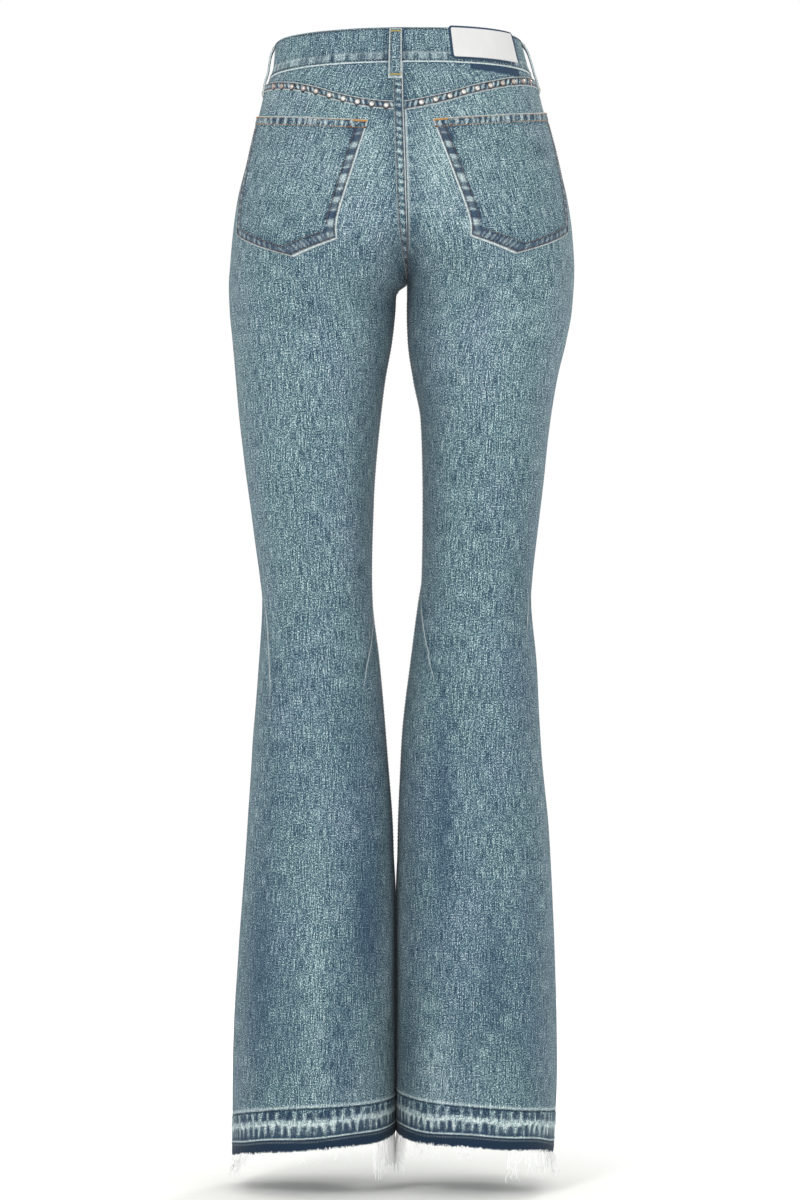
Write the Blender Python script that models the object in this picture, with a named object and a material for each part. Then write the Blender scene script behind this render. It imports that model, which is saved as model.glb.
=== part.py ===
"""Flared jeans with a shallow V yoke, back patch pockets and a raw, let-down hem.

The cloth has the hollow form that it takes on a standing figure.  Sizes are in millimetres and
the meshes are made in metres.  +Z is up, the front faces -Y and +X is the wearer's left.  The
origin is the middle of the waist opening, halfway up the waistband.
"""
import functools
import math

import bmesh
import bpy
import numpy as np
from mathutils import Vector
from mathutils.bvhtree import BVHTree

MM = 0.001

# Cloth
WALL = 1.5                  # panels, yokes, pockets and facings
BAND_WALL = 3.0             # two layers of the waistband with the seam allowance between them
BAND_PROUD = 1.0            # the band's outside stands this far out of the panels
SEAM_GAP = 0.3              # between pieces that meet edge to edge
LAID_GAP = 0.8              # under a piece that lies on another
POCKET_GAP = 1.3            # under a back pocket
INNER_GAP = 1.2             # between the front and the layers behind it

# Form of the worn garment, one row for each height.  left and right are the outlines seen from
# behind, in X; the inner columns are the centre seam down to the crotch and the inner leg
# outlines below it; back and front are the outlines seen from the side, in Y.
FORM_COLUMNS = ("z", "left", "left_inner", "right_inner", "right", "back", "front")
FORM = (
    (40, 124.5, 0.0, 0.0, -111.0, 80, -78),
    (15, 126.5, 0.0, 0.0, -118.0, 86, -82),
    (-10, 129.0, 0.0, 0.0, -125.0, 93, -87),
    (-27, 136.5, -0.2, -0.2, -133.5, 98, -90),
    (-48, 141.5, -0.5, -0.5, -139.0, 105, -94),
    (-95, 153.5, -2.0, -2.0, -152.5, 118, -101),
    (-138, 164.0, -3.3, -3.3, -163.0, 125, -104),
    (-178, 169.5, -4.3, -4.3, -168.5, 125, -103),
    (-210, 172.0, -4.5, -4.5, -170.0, 118, -100),
    (-223, 173.0, -4.2, -4.2, -169.8, 114, -99),
    (-231, 173.0, 6.5, -4.2, -169.3, 112, -98),
    (-250, 172.5, 8.0, -4.2, -168.0, 107, -97),
    (-278, 170.0, 11.0, -5.0, -163.0, 101, -96),
    (-318, 166.5, 18.0, -10.5, -153.5, 93, -93),
    (-358, 163.0, 23.0, -18.0, -147.0, 87, -90),
    (-438, 153.0, 29.5, -20.0, -138.0, 76, -83),
    (-518, 142.5, 31.5, -19.0, -129.0, 66, -77),
    (-538, 140.5, 31.0, -16.0, -128.0, 65, -76),
    (-598, 143.5, 24.0, -8.0, -133.0, 67, -76),
    (-678, 149.5, 17.0, 1.0, -137.0, 73, -79),
    (-778, 156.0, 10.0, 5.0, -146.0, 82, -84),
    (-878, 163.0, 8.2, 6.2, -150.5, 88, -87),
    (-998, 169.5, 8.2, 6.2, -153.5, 94, -91),
    (-1100, 170.0, 8.4, 6.4, -149.0, 97, -94),
)
SECTION_POWER = 2.25        # 2 is an ellipse, more is squarer
CROTCH_Z = -223.0
CLOSING_TOP = {"back": -78.0, "front": -96.0}    # where the two legs start to part
CLOSING_POWER = 2.0
SECTION_STEPS = 180
NORMAL_STEP = 2.0           # half the height over which the slope of the form is read
STEEPEST = 2.0              # largest slope that a normal follows
SEARCH_REACH = 20.0         # how far out the search for a piece's outside starts

# Soft folds that the panels have when worn.  across runs from the side seam, 0, to the centre or
# inner leg seam, 1; height and width are half sizes; lean is how far the fold climbs across the
# whole panel; depth is negative for a hollow.
FOLD_COLUMNS = ("side", "face", "z", "across", "height", "width", "lean", "depth")
FOLDS = (
    ("left", "back", -256, 0.55, 26, 0.30, 20, -3.0),
    ("right", "back", -254, 0.52, 26, 0.30, 20, -3.0),
    ("left", "back", -585, 0.52, 34, 0.30, -8, -3.5),
    ("right", "back", -580, 0.50, 34, 0.30, -8, -3.5),
    ("left", "front", -520, 0.50, 46, 0.32, 0, 3.5),
    ("right", "front", -520, 0.50, 46, 0.32, 0, 3.5),
    ("left", "back", -930, 0.50, 150, 0.16, 0, 3.0),
    ("right", "back", -930, 0.36, 140, 0.14, 0, 3.0),
    ("left", "front", -900, 0.52, 160, 0.20, 0, 3.0),
    ("right", "front", -900, 0.48, 160, 0.20, 0, 3.0),
)
FOLD_FADE = 8.0             # folds die away over an eighth of the panel at each seam

# Panel grids
PANEL_COLUMNS = 11
BACK_ROWS = (-50, -72, -95, -120, -145, -165, -180, -192, -202, -210, -217, -223, -229, -240, -258,
             -282, -315, -360, -410, -460, -502, -540, -585, -635, -700, -775, -850, -925, -990, -1045)
FRONT_ROWS = (-24,) + BACK_ROWS
YOKE_ROWS = 3
YOKE_LEVEL = -40.0          # where the distance along the yoke seam is measured
TOP_BLEND_END = -130.0      # rows are level from here down to HEM_BLEND_START
HEM_BLEND_START = -985.0
HEM_Z = -1080.0

# The raw edge, lower at the side seam than elsewhere
HEM_PLACES = (0.0, 0.5, 1.0)    # side seam, middle, inner leg seam
HEM = {
    ("left", "back"): (-1092.5, -1075.0, -1072.5),
    ("left", "front"): (-1092.5, -1071.0, -1072.5),
    ("right", "back"): (-1087.0, -1069.5, -1071.5),
    ("right", "front"): (-1087.0, -1067.5, -1071.5),
}
FRINGE_REACH = 20.0
FRINGE_WALL = 2.4
FRINGE_OUT = 0.4            # outside the form
FRINGE_COLUMNS = 12

# Waistband, tilted up at the back and a little up at the wearer's right
BAND_HEIGHT = 36.0
BAND_TILT = 0.065
BAND_ROLL = -0.012
BAND_COLUMNS = 11           # in each quarter
LAP = 0.12                  # each end passes the centre front by this part of a quarter
LAP_RAMP = 0.30             # the under end sinks behind the other along this part
LAP_DROP = BAND_WALL + 2 * SEAM_GAP

# Yoke seam: distance from the centre back seam along the cloth, and height on each side
YOKE_COLUMNS = ("distance", "left", "right")
YOKE_SEAM = (
    (0, -52.0, -51.5),
    (20, -50.8, -47.4),
    (42, -47.7, -42.1),
    (66, -41.7, -34.5),
    (88, -34.7, -28.7),
    (112, -29.0, -23.6),
    (142, -25.6, -20.4),
    (200, -23.5, -19.4),
)

# Back pockets: distance from the centre back seam along the cloth, and height, of each corner
POCKET_CORNERS = ("top_inner", "bottom_inner", "point", "bottom_outer", "top_outer")
POCKETS = {
    "left": ((35, -70.5), (75.5, -187), (136, -204), (198, -179), (184, -57)),
    "right": ((27.5, -69.5), (67, -184.5), (126, -201), (188, -177), (188, -52)),
}
POCKET_COLUMNS = 14
POCKET_ROWS = 9

# Patch on the band, right of the centre back seam
LABEL_START = 49.0
LABEL_LENGTH = 76.0
LABEL_HEIGHT = 30.0
LABEL_DROP = 0.5            # below the band's top edge
LABEL_WALL = 1.2
LABEL_COLUMNS = 7
LABEL_ROWS = 2

# Belt loops: side, face, distance across from the side seam as a part of the panel
LOOPS = (
    ("belt_loop_centre_back", "left", "back", 0.958),
    ("belt_loop_left_side", "left", "back", 0.015),
    ("belt_loop_right_side", "right", "back", 0.015),
    ("belt_loop_left_front", "left", "front", 0.500),
    ("belt_loop_right_front", "right", "front", 0.500),
)
LOOP_WIDTH = 12.5
LOOP_WALL = 2.0
LOOP_TOP = 2.0              # below the band's top edge
LOOP_TAIL = 16.0            # below the band's bottom edge
LOOP_BOW = 2.6              # how far it stands off the band
LOOP_CROWN = 0.4            # more at its middle
LOOP_FOLD = 7.0             # length of the sewn part at each end
LOOP_SLOPE = 5.6            # height over which its foot comes in to the cloth

# Yoke studs
STUD_COUNT = 10
STUD_START = 17.0
STUD_PITCH = 14.0
STUD_DROP = 5.3             # below the yoke seam
STUD_RADIUS = 2.9
STUD_RISE = 1.7
STUD_GAP = 0.45
STUD_PROFILE = ((0.0, 0.0), (1.0, 0.0), (0.88, 0.62), (0.5, 0.93), (0.0, 1.0))   # parts of both
STUD_SIDES = 10

# Front: scoop pockets, fly and button
SCOOP_ACROSS = 0.43         # where the opening meets the band
SCOOP_DEPTH = 78.0          # below the band at the side seam
SCOOP_POWER = 2.4
FACING_LAP = 16.0
FACING_ACROSS = 0.50
FACING_COLUMNS = 7
FACING_ROWS = 4
FLY_LENGTH = 128.0
FLY_LEFT = 38.0
FLY_RIGHT = -16.0
ZIP_WIDTH = 24.0
ZIP_WALL = 1.4
FLY_ROWS = 8
FLY_COLUMNS = 4
FLY_CURVE = 0.55            # how far its foot comes round to the centre, as a part of its width
FLY_CURVE_POWER = 5.0
BUTTON_PROFILE = ((0.0, 0.0), (7.6, 0.0), (8.6, 0.9), (8.4, 2.2), (7.0, 3.0), (4.8, 2.7), (0.0, 3.4))
BUTTON_SIDES = 24

# Finish: base colour, roughness, metallic
FINISH = {
    "denim": ((0.125, 0.205, 0.262), 0.86, 0.0),
    "band_patch": ((0.80, 0.80, 0.78), 0.60, 0.0),
    "frayed_thread": ((0.78, 0.79, 0.78), 0.90, 0.0),
    "stud_metal": ((0.74, 0.71, 0.69), 0.28, 0.85),
    "button_metal": ((0.46, 0.33, 0.22), 0.36, 1.0),
    "zip_tape": ((0.10, 0.13, 0.20), 0.70, 0.0),
}

SIGN = {"left": 1, "right": -1, "back": 1, "front": -1}


# ---------------------------------------------------------------- form

def slopes(x, y):
    """Slopes of a monotone cubic through the points."""
    steps = np.diff(x)
    rises = np.diff(y) / steps
    inner = np.zeros(len(x) - 2)
    for i in range(len(inner)):
        before, after = rises[i], rises[i + 1]
        if before * after > 0:
            weight = (2 * steps[i + 1] + steps[i], steps[i + 1] + 2 * steps[i])
            inner[i] = sum(weight) / (weight[0] / before + weight[1] / after)
    return np.concatenate(([rises[0]], inner, [rises[-1]]))


def smooth_curve(x, y, at):
    """Read the monotone cubic through the points (x rising) at one place."""
    at = min(max(at, x[0]), x[-1])
    i = int(min(max(np.searchsorted(x, at) - 1, 0), len(x) - 2))
    step = x[i + 1] - x[i]
    t = (at - x[i]) / step
    m = slopes(x, y)
    return ((1 + 2 * t) * (1 - t) ** 2 * y[i] + t * (1 - t) ** 2 * step * m[i]
            + t * t * (3 - 2 * t) * y[i + 1] + t * t * (t - 1) * step * m[i + 1])


def column(table, names, name):
    return np.array([float(row[names.index(name)]) for row in table])


FORM_UP = FORM[::-1]
FORM_Z = column(FORM_UP, FORM_COLUMNS, "z")
FORM_VALUES = {name: column(FORM_UP, FORM_COLUMNS, name) for name in FORM_COLUMNS}


@functools.lru_cache(maxsize=None)
def form(name, z):
    return float(smooth_curve(FORM_Z, FORM_VALUES[name], z))


def ease(value, start, end):
    """0 at start, 1 at end, smooth between them."""
    t = min(max((value - start) / (end - start), 0.0), 1.0)
    return t * t * (3 - 2 * t)


def closing(face, z):
    """How far the legs have parted: 0 where the hips are one oval, 1 from the crotch down."""
    return ease(-z, -CLOSING_TOP[face], -CROTCH_Z) ** CLOSING_POWER


@functools.lru_cache(maxsize=None)
def section(side, face, z):
    """Half a level section, from the side seam round to the centre or inner leg seam.

    Returns the points, their tangents and the distance along the cloth."""
    outer = SIGN[side] * form(side, z)
    inner = SIGN[side] * form(side + "_inner", z) + SEAM_GAP / 2
    half_depth = (form("back", z) - form("front", z)) / 2
    middle_y = (form("back", z) + form("front", z)) / 2
    power = SECTION_POWER
    parted = closing(face, z)
    middle_x = (inner + parted * outer) / (1.0 + parted)
    half_width = outer - middle_x
    reach = min(max((middle_x - inner) / half_width, 0.0), 1.0)
    end = math.atan2(half_depth * (1.0 - reach ** power) ** (1.0 / power), inner - middle_x)
    angles = np.linspace(0.0, end, SECTION_STEPS)
    radius = (np.abs(np.cos(angles) / half_width) ** power
              + np.abs(np.sin(angles) / half_depth) ** power) ** (-1.0 / power)
    x = SIGN[side] * (middle_x + radius * np.cos(angles))
    y = middle_y + SIGN[face] * radius * np.sin(angles)
    points = np.stack([x, y], axis=1)
    tangents = np.gradient(points, axis=0)
    tangents /= np.linalg.norm(tangents, axis=1)[:, None]
    steps = np.linalg.norm(np.diff(points, axis=0), axis=1)
    return points, tangents, np.concatenate(([0.0], np.cumsum(steps)))


def girth(side, face, z):
    """Width of a panel at a height, measured along the cloth."""
    return section(side, face, z)[2][-1]


def read_section(side, face, across, z):
    points, tangents, distance = section(side, face, round(z, 3))
    at = across * distance[-1]
    point = [np.interp(at, distance, points[:, k]) for k in (0, 1)]
    tangent = [np.interp(at, distance, tangents[:, k]) for k in (0, 1)]
    return np.array(point), np.array(tangent)


def fold_height(side, face, across, z):
    """Sum of the soft folds at a place on a panel, fading out at its seams."""
    total = 0.0
    for row in FOLDS:
        fold = dict(zip(FOLD_COLUMNS, row))
        if (fold["side"], fold["face"]) != (side, face):
            continue
        offset = across - fold["across"]
        level = z - fold["z"] - fold["lean"] * offset
        reach = (offset / fold["width"]) ** 2 + (level / fold["height"]) ** 2
        total += fold["depth"] * math.exp(-reach)
    return total * min(1.0, FOLD_FADE * across * (1.0 - across)) if total else 0.0


def normal_at(side, face, across, z):
    """Unit vector out of the cloth, the same on both sides of every seam."""
    tangent = read_section(side, face, across, z)[1]
    above = read_section(side, face, across, z + NORMAL_STEP)[0]
    below = read_section(side, face, across, z - NORMAL_STEP)[0]
    climb = (above - below) / (2 * NORMAL_STEP)
    upright = tangent[0] * climb[1] - tangent[1] * climb[0]
    upright = min(max(upright, -STEEPEST), STEEPEST)
    normal = np.array([tangent[1], -tangent[0], upright]) * SIGN[side] * SIGN[face]
    return normal / np.linalg.norm(normal)


def cloth(side, face, across, z, out=0.0):
    """A point on the garment's outside, moved out by some millimetres."""
    place = read_section(side, face, across, z)[0]
    point = np.array([place[0], place[1], z])
    lift = out + fold_height(side, face, across, z)
    return point + normal_at(side, face, across, z) * lift if lift else point


# ---------------------------------------------------------------- edges

def band_middle(x, y):
    return BAND_TILT * y + BAND_ROLL * x


def band_edge(side, face, across, rise_from_middle):
    """Height of a line on the waistband, some millimetres above its middle."""
    z = rise_from_middle
    for _ in range(3):
        x, y = read_section(side, face, across, z)[0]
        z = band_middle(x, y) + rise_from_middle
    return z


def yoke_seam(side, distance):
    distances = column(YOKE_SEAM, YOKE_COLUMNS, "distance")
    heights = column(YOKE_SEAM, YOKE_COLUMNS, side)
    return float(smooth_curve(distances, heights, distance))


def yoke_edge(side, across):
    distance = (1.0 - across) * girth(side, "back", YOKE_LEVEL)
    return yoke_seam(side, distance)


def scoop_edge(side, across):
    """Top edge of a front panel: the pocket opening, then the band."""
    band = band_edge(side, "front", across, -BAND_HEIGHT / 2) - SEAM_GAP
    if across >= SCOOP_ACROSS:
        return band
    part = across / SCOOP_ACROSS
    return band - SCOOP_DEPTH * (1.0 - part ** SCOOP_POWER) ** (1.0 / SCOOP_POWER)


def hem_edge(side, face, across):
    return float(smooth_curve(np.array(HEM_PLACES), np.array(HEM[(side, face)]), across))


# ---------------------------------------------------------------- solids

def make_material(name):
    colour, roughness, metallic = FINISH[name]
    material = bpy.data.materials.get(name) or bpy.data.materials.new(name)
    material.use_nodes = True
    shader = material.node_tree.nodes["Principled BSDF"]
    shader.inputs["Base Color"].default_value = (*colour, 1.0)
    shader.inputs["Roughness"].default_value = roughness
    shader.inputs["Metallic"].default_value = metallic
    return material


def make_solid(name, vertices, faces, finish):
    """One named object from points in millimetres, its faces pointing out."""
    mesh = bpy.data.meshes.new(name)
    mesh.from_pydata([tuple(float(c) * MM for c in v) for v in vertices], [], faces)
    solid = bmesh.new()
    solid.from_mesh(mesh)
    bmesh.ops.recalc_face_normals(solid, faces=solid.faces)
    solid.to_mesh(mesh)
    solid.free()
    mesh.materials.append(make_material(finish))
    mesh.shade_smooth()
    mesh.set_sharp_from_angle(angle=math.radians(40))
    thing = bpy.data.objects.new(name, mesh)
    bpy.context.scene.collection.objects.link(thing)
    return thing


def split_quad(vertices, quad):
    """Two triangles that meet on the quad's shorter diagonal."""
    a, b, c, d = quad
    first = np.linalg.norm(vertices[a] - vertices[c])
    second = np.linalg.norm(vertices[b] - vertices[d])
    return [[a, b, c], [a, c, d]] if first < second else [[a, b, d], [b, c, d]]


def make_wall(name, outside, inside, finish="denim", ring=False):
    """A cloth wall between two grids of points; a ring closes on its first column."""
    outside, inside = np.asarray(outside), np.asarray(inside)
    rows, columns = outside.shape[:2]
    count = rows * columns
    vertices = np.concatenate([outside.reshape(-1, 3), inside.reshape(-1, 3)])

    def at(row, col, layer=0):
        return layer * count + row * columns + col % columns

    spans = columns if ring else columns - 1
    faces = []
    for row in range(rows - 1):
        for col in range(spans):
            for layer in (0, 1):
                quad = [at(row, col, layer), at(row, col + 1, layer),
                        at(row + 1, col + 1, layer), at(row + 1, col, layer)]
                faces += split_quad(vertices, quad)
    for row in (0, rows - 1):
        for col in range(spans):
            faces.append([at(row, col), at(row, col + 1), at(row, col + 1, 1), at(row, col, 1)])
    if not ring:
        for col in (0, columns - 1):
            for row in range(rows - 1):
                faces.append([at(row, col), at(row + 1, col), at(row + 1, col, 1), at(row, col, 1)])
    return make_solid(name, vertices, faces, finish)


def inset(side, face, part, z):
    """The place across a panel, held half a seam gap clear of the panel's own edges."""
    gap = SEAM_GAP / 2 / girth(side, face, round(z, 3))
    return min(max(part, gap), 1.0 - gap)


def make_panel(name, side, face, places, wall=WALL, out=0.0, finish="denim"):
    """A wall on the garment's form through a grid of (across, z) places."""
    outside = [[cloth(side, face, across, z, out) for across, z in row] for row in places]
    inside = [[cloth(side, face, across, z, out - wall) for across, z in row] for row in places]
    return make_wall(name, outside, inside, finish)


# ---------------------------------------------------------------- cut pieces

def make_leg_panel(side, face):
    """Back panel from the yoke seam, or front panel from the band, down to the raw hem."""
    rows = BACK_ROWS if face == "back" else FRONT_ROWS
    places = []
    for z in rows + (HEM_Z,):
        line = []
        for k in range(PANEL_COLUMNS + 1):
            part = inset(side, face, k / PANEL_COLUMNS, z)
            top = scoop_edge(side, part) if face == "front" else yoke_edge(side, part) - SEAM_GAP
            lift = (top - rows[0]) * (1 - ease(-z, -rows[0], -TOP_BLEND_END))
            drop = (hem_edge(side, face, part) - HEM_Z) * ease(-z, -HEM_BLEND_START, -HEM_Z)
            line.append((part, z + lift + drop))
        places.append(line)
    return make_panel(f"{face}_panel_{side}", side, face, places)


def outer_surface(name):
    """Search tree of a finished piece, for laying another on its own facets."""
    mesh = bpy.data.objects[name].data
    return BVHTree.FromPolygons([v.co for v in mesh.vertices],
                                [list(face.vertices) for face in mesh.polygons])


def lay_on(surface, side, face, across, z, out):
    """A point moved out from a piece's facets over a place on the form, and the normal there."""
    normal = normal_at(side, face, across, z)
    start = (cloth(side, face, across, z) + normal * SEARCH_REACH) * MM
    hit = surface.ray_cast(Vector(start), Vector(-normal))[0]
    return np.array(hit) / MM + normal * out, normal


def make_yoke(side):
    places = []
    for row in range(YOKE_ROWS + 1):
        line = []
        for k in range(PANEL_COLUMNS + 1):
            part = inset(side, "back", k / PANEL_COLUMNS, YOKE_LEVEL)
            top = band_edge(side, "back", part, -BAND_HEIGHT / 2) - SEAM_GAP
            line.append((part, top + (yoke_edge(side, part) - top) * row / YOKE_ROWS))
        places.append(line)
    return make_panel(f"back_yoke_{side}", side, "back", places)


def quarter(turn):
    """Which quarter of the waist a turn from the centre front lies in, and where in it."""
    turn %= 4.0
    if turn < 1.0:
        return "left", "front", 1.0 - turn
    if turn < 2.0:
        return "left", "back", turn - 1.0
    if turn < 3.0:
        return "right", "back", 3.0 - turn
    return "right", "front", turn - 3.0


def make_waistband():
    """One strip round the waist whose under end passes behind the other at the front."""
    step = 1.0 / BAND_COLUMNS
    turns = [-LAP] + [k * step for k in range(4 * BAND_COLUMNS + 1)] + [4.0 + LAP]
    outside, inside = [], []
    for height in (BAND_HEIGHT / 2, 0.0, -BAND_HEIGHT / 2):
        outer_line, inner_line = [], []
        for turn in turns:
            side, face, across = quarter(turn)
            z = band_edge(side, face, across, height)
            sink = LAP_DROP * ease(turn, 4.0 - LAP - LAP_RAMP, 4.0 - LAP)
            outer_line.append(cloth(side, face, across, z, BAND_PROUD - sink))
            inner_line.append(cloth(side, face, across, z, BAND_PROUD - sink - BAND_WALL))
        outside.append(outer_line)
        inside.append(inner_line)
    return make_wall("waistband", outside, inside)


def make_back_pocket(side):
    """A five-cornered patch laid on the back panel, its flat shape given by its corners."""
    corner = dict(zip(POCKET_CORNERS, np.array(POCKETS[side], float)))
    places = []
    for row in range(POCKET_ROWS + 1):
        down = row / POCKET_ROWS
        start = corner["top_inner"] * (1 - down) + corner["bottom_inner"] * down
        end = corner["top_outer"] * (1 - down) + corner["bottom_outer"] * down
        foot = (corner["bottom_inner"] + corner["bottom_outer"]) / 2
        point_drop = corner["point"] - foot
        line = []
        for k in range(POCKET_COLUMNS + 1):
            part = k / POCKET_COLUMNS
            distance, z = start * (1 - part) + end * part
            tip = (1 - abs(2 * part - 1)) * down
            distance += point_drop[0] * tip
            z += point_drop[1] * tip
            line.append((1.0 - distance / girth(side, "back", round(z, 3)), z))
        places.append(line)
    under = outer_surface(f"back_panel_{side}")
    layers = [[[lay_on(under, side, "back", *place, out)[0] for place in line] for line in places]
              for out in (POCKET_GAP + WALL, POCKET_GAP)]
    return make_wall(f"back_pocket_{side}", *layers)


def make_waist_label():
    side, face = "right", "back"
    waist = girth(side, face, 0.0)
    places = []
    for row in range(LABEL_ROWS + 1):
        line = []
        for k in range(LABEL_COLUMNS + 1):
            across = 1.0 - (LABEL_START + LABEL_LENGTH * k / LABEL_COLUMNS) / waist
            height = BAND_HEIGHT / 2 - LABEL_DROP - LABEL_HEIGHT * row / LABEL_ROWS
            line.append((across, band_edge(side, face, across, height)))
        places.append(line)
    return make_panel("waist_label", side, face, places, LABEL_WALL,
                      BAND_PROUD + LAID_GAP + LABEL_WALL, "band_patch")


def loop_path():
    """Height above the band's middle and distance out of the form, along a belt loop."""
    top = BAND_HEIGHT / 2 - LOOP_TOP
    foot = -BAND_HEIGHT / 2 - LOOP_TAIL
    on_band = BAND_PROUD + LAID_GAP
    bowed = on_band + LOOP_BOW
    return ((top, on_band), (top - LOOP_FOLD / 2, on_band), (top - LOOP_FOLD, bowed),
            (0.0, bowed + LOOP_CROWN), (foot + LOOP_FOLD + LOOP_SLOPE, bowed),
            (foot + LOOP_FOLD, LAID_GAP + BAND_PROUD), (foot + LOOP_FOLD / 2, LAID_GAP),
            (foot, LAID_GAP))


def make_belt_loop(name, side, face, across):
    waist = girth(side, face, 0.0)
    half = LOOP_WIDTH / 2 / waist
    outside, inside = [], []
    for height, out in loop_path():
        outer_line, inner_line = [], []
        for shift in (-half, 0.0, half):
            place = across + shift
            spot = (side, face, place)
            if place < 0.0:
                spot = (side, "front" if face == "back" else "back", -place)
            z = band_edge(*spot, height)
            outer_line.append(cloth(*spot, z, out + LOOP_WALL))
            inner_line.append(cloth(*spot, z, out))
        outside.append(outer_line)
        inside.append(inner_line)
    return make_wall(name, outside, inside)


def make_fringe(side):
    """A plain ring of the frayed edge's reach, under the raw hem of one leg."""
    outside, inside = [], []
    for drop in (SEAM_GAP, FRINGE_REACH):
        outer_line, inner_line = [], []
        for k in range(2 * FRINGE_COLUMNS):
            turn = k / FRINGE_COLUMNS
            face, across = ("back", turn) if turn < 1.0 else ("front", 2.0 - turn)
            edge = hem_edge(side, face, across)
            for line, out in ((outer_line, FRINGE_OUT), (inner_line, FRINGE_OUT - FRINGE_WALL)):
                point = cloth(side, face, across, edge, out)
                point[2] = edge - drop
                line.append(point)
        outside.append(outer_line)
        inside.append(inner_line)
    return make_wall(f"hem_fringe_{side}", outside, inside, "frayed_thread", ring=True)


# ---------------------------------------------------------------- front closure

def make_facing(side):
    """The cloth that shows inside a front pocket opening, one layer further in."""
    places = []
    for row in range(FACING_ROWS + 1):
        line = []
        for k in range(FACING_COLUMNS + 1):
            part = inset(side, "front", FACING_ACROSS * k / FACING_COLUMNS, YOKE_LEVEL)
            top = band_edge(side, "front", part, -BAND_HEIGHT / 2) - SEAM_GAP
            foot = min(scoop_edge(side, part), top) - FACING_LAP
            line.append((part, top + (foot - top) * row / FACING_ROWS))
        places.append(line)
    return make_panel(f"pocket_facing_{side}", side, "front", places, out=-WALL - INNER_GAP)


def front_point(x, z):
    """The point of the front with a given X, above the crotch."""
    side = "left" if x > form("left_inner", z) else "right"
    points = section(side, "front", round(z, 3))[0]
    order = np.argsort(points[:, 0])
    return np.array([x, np.interp(x, points[order, 0], points[order, 1]), z])


def make_fly_layer(name, left, right, depth, wall, finish):
    """A strip behind the centre front, straight back from it by depth."""
    top = band_edge("left", "front", 1.0, -BAND_HEIGHT / 2) - INNER_GAP
    outside, inside = [], []
    for row in range(FLY_ROWS + 1):
        down = row / FLY_ROWS
        z = top - FLY_LENGTH * down
        curve = left + (right - left) * FLY_CURVE * down ** FLY_CURVE_POWER
        line = [front_point(curve + (right - curve) * k / FLY_COLUMNS, z)
                for k in range(FLY_COLUMNS + 1)]
        outside.append([p + np.array([0.0, depth, 0.0]) for p in line])
        inside.append([p + np.array([0.0, depth + wall, 0.0]) for p in line])
    return make_wall(name, outside, inside, finish)


def make_fly():
    zip_depth = WALL + INNER_GAP + SEAM_GAP
    make_fly_layer("fly_zip", ZIP_WIDTH / 2, -ZIP_WIDTH / 2, zip_depth, ZIP_WALL, "zip_tape")
    guard_depth = zip_depth + ZIP_WALL + 2 * SEAM_GAP
    make_fly_layer("fly_guard", FLY_LEFT, FLY_RIGHT, guard_depth, WALL, "denim")


def turned(name, centre, normal, profile, sides, finish):
    """A turned solid: radius and height pairs from its base centre to its top centre."""
    normal = normal / np.linalg.norm(normal)
    across = np.cross(normal, (0.0, 0.0, 1.0))
    across /= np.linalg.norm(across)
    upward = np.cross(across, normal)
    vertices = [centre + normal * profile[0][1]]
    for radius, height in profile[1:-1]:
        for k in range(sides):
            angle = 2 * math.pi * k / sides
            spoke = across * math.cos(angle) + upward * math.sin(angle)
            vertices.append(centre + normal * height + spoke * radius)
    vertices.append(centre + normal * profile[-1][1])
    last = len(vertices) - 1
    rings = len(profile) - 2
    faces = [[0, 1 + (k + 1) % sides, 1 + k] for k in range(sides)]
    for ring in range(rings - 1):
        start = 1 + ring * sides
        for k in range(sides):
            after = (k + 1) % sides
            faces.append([start + k, start + after, start + sides + after, start + sides + k])
    start = 1 + (rings - 1) * sides
    faces += [[start + k, start + (k + 1) % sides, last] for k in range(sides)]
    return make_solid(name, vertices, faces, finish)


def make_button():
    z = band_edge("left", "front", 1.0, 0.0)
    out = BAND_PROUD + SEAM_GAP
    centre = cloth("left", "front", 1.0, z, out)
    turned("waist_button", centre, normal_at("left", "front", 1.0, z), BUTTON_PROFILE,
           BUTTON_SIDES, "button_metal")


def make_studs(side):
    profile = [(STUD_RADIUS * across, STUD_RISE * up) for across, up in STUD_PROFILE]
    under = outer_surface(f"back_panel_{side}")
    for k in range(STUD_COUNT):
        distance = STUD_START + STUD_PITCH * k
        z = yoke_seam(side, distance) - STUD_DROP
        across = 1.0 - distance / girth(side, "back", round(z, 3))
        centre, normal = lay_on(under, side, "back", across, z, STUD_GAP)
        turned(f"yoke_stud_{side}_{k + 1}", centre, normal, profile, STUD_SIDES, "stud_metal")


def main():
    for thing in list(bpy.data.objects):
        bpy.data.objects.remove(thing, do_unlink=True)
    make_waistband()
    make_waist_label()
    for side in ("left", "right"):
        make_yoke(side)
        make_leg_panel(side, "back")
        make_leg_panel(side, "front")
        make_back_pocket(side)
        make_facing(side)
        make_fringe(side)
        make_studs(side)
    for name, side, face, across in LOOPS:
        make_belt_loop(name, side, face, across)
    make_fly()
    make_button()


main()
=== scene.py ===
"""Looks of the flared jeans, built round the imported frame.

The garment's form, seams and pockets are given by the same sizes as the solids, in millimetres.
+Z is up, the front faces -Y and +X is the wearer's left.  A place on the cloth is a side, a face,
how far across the panel it lies, from 0 at the side seam to 1 at the centre or inner leg seam, and
its height z.
"""
import math

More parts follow.
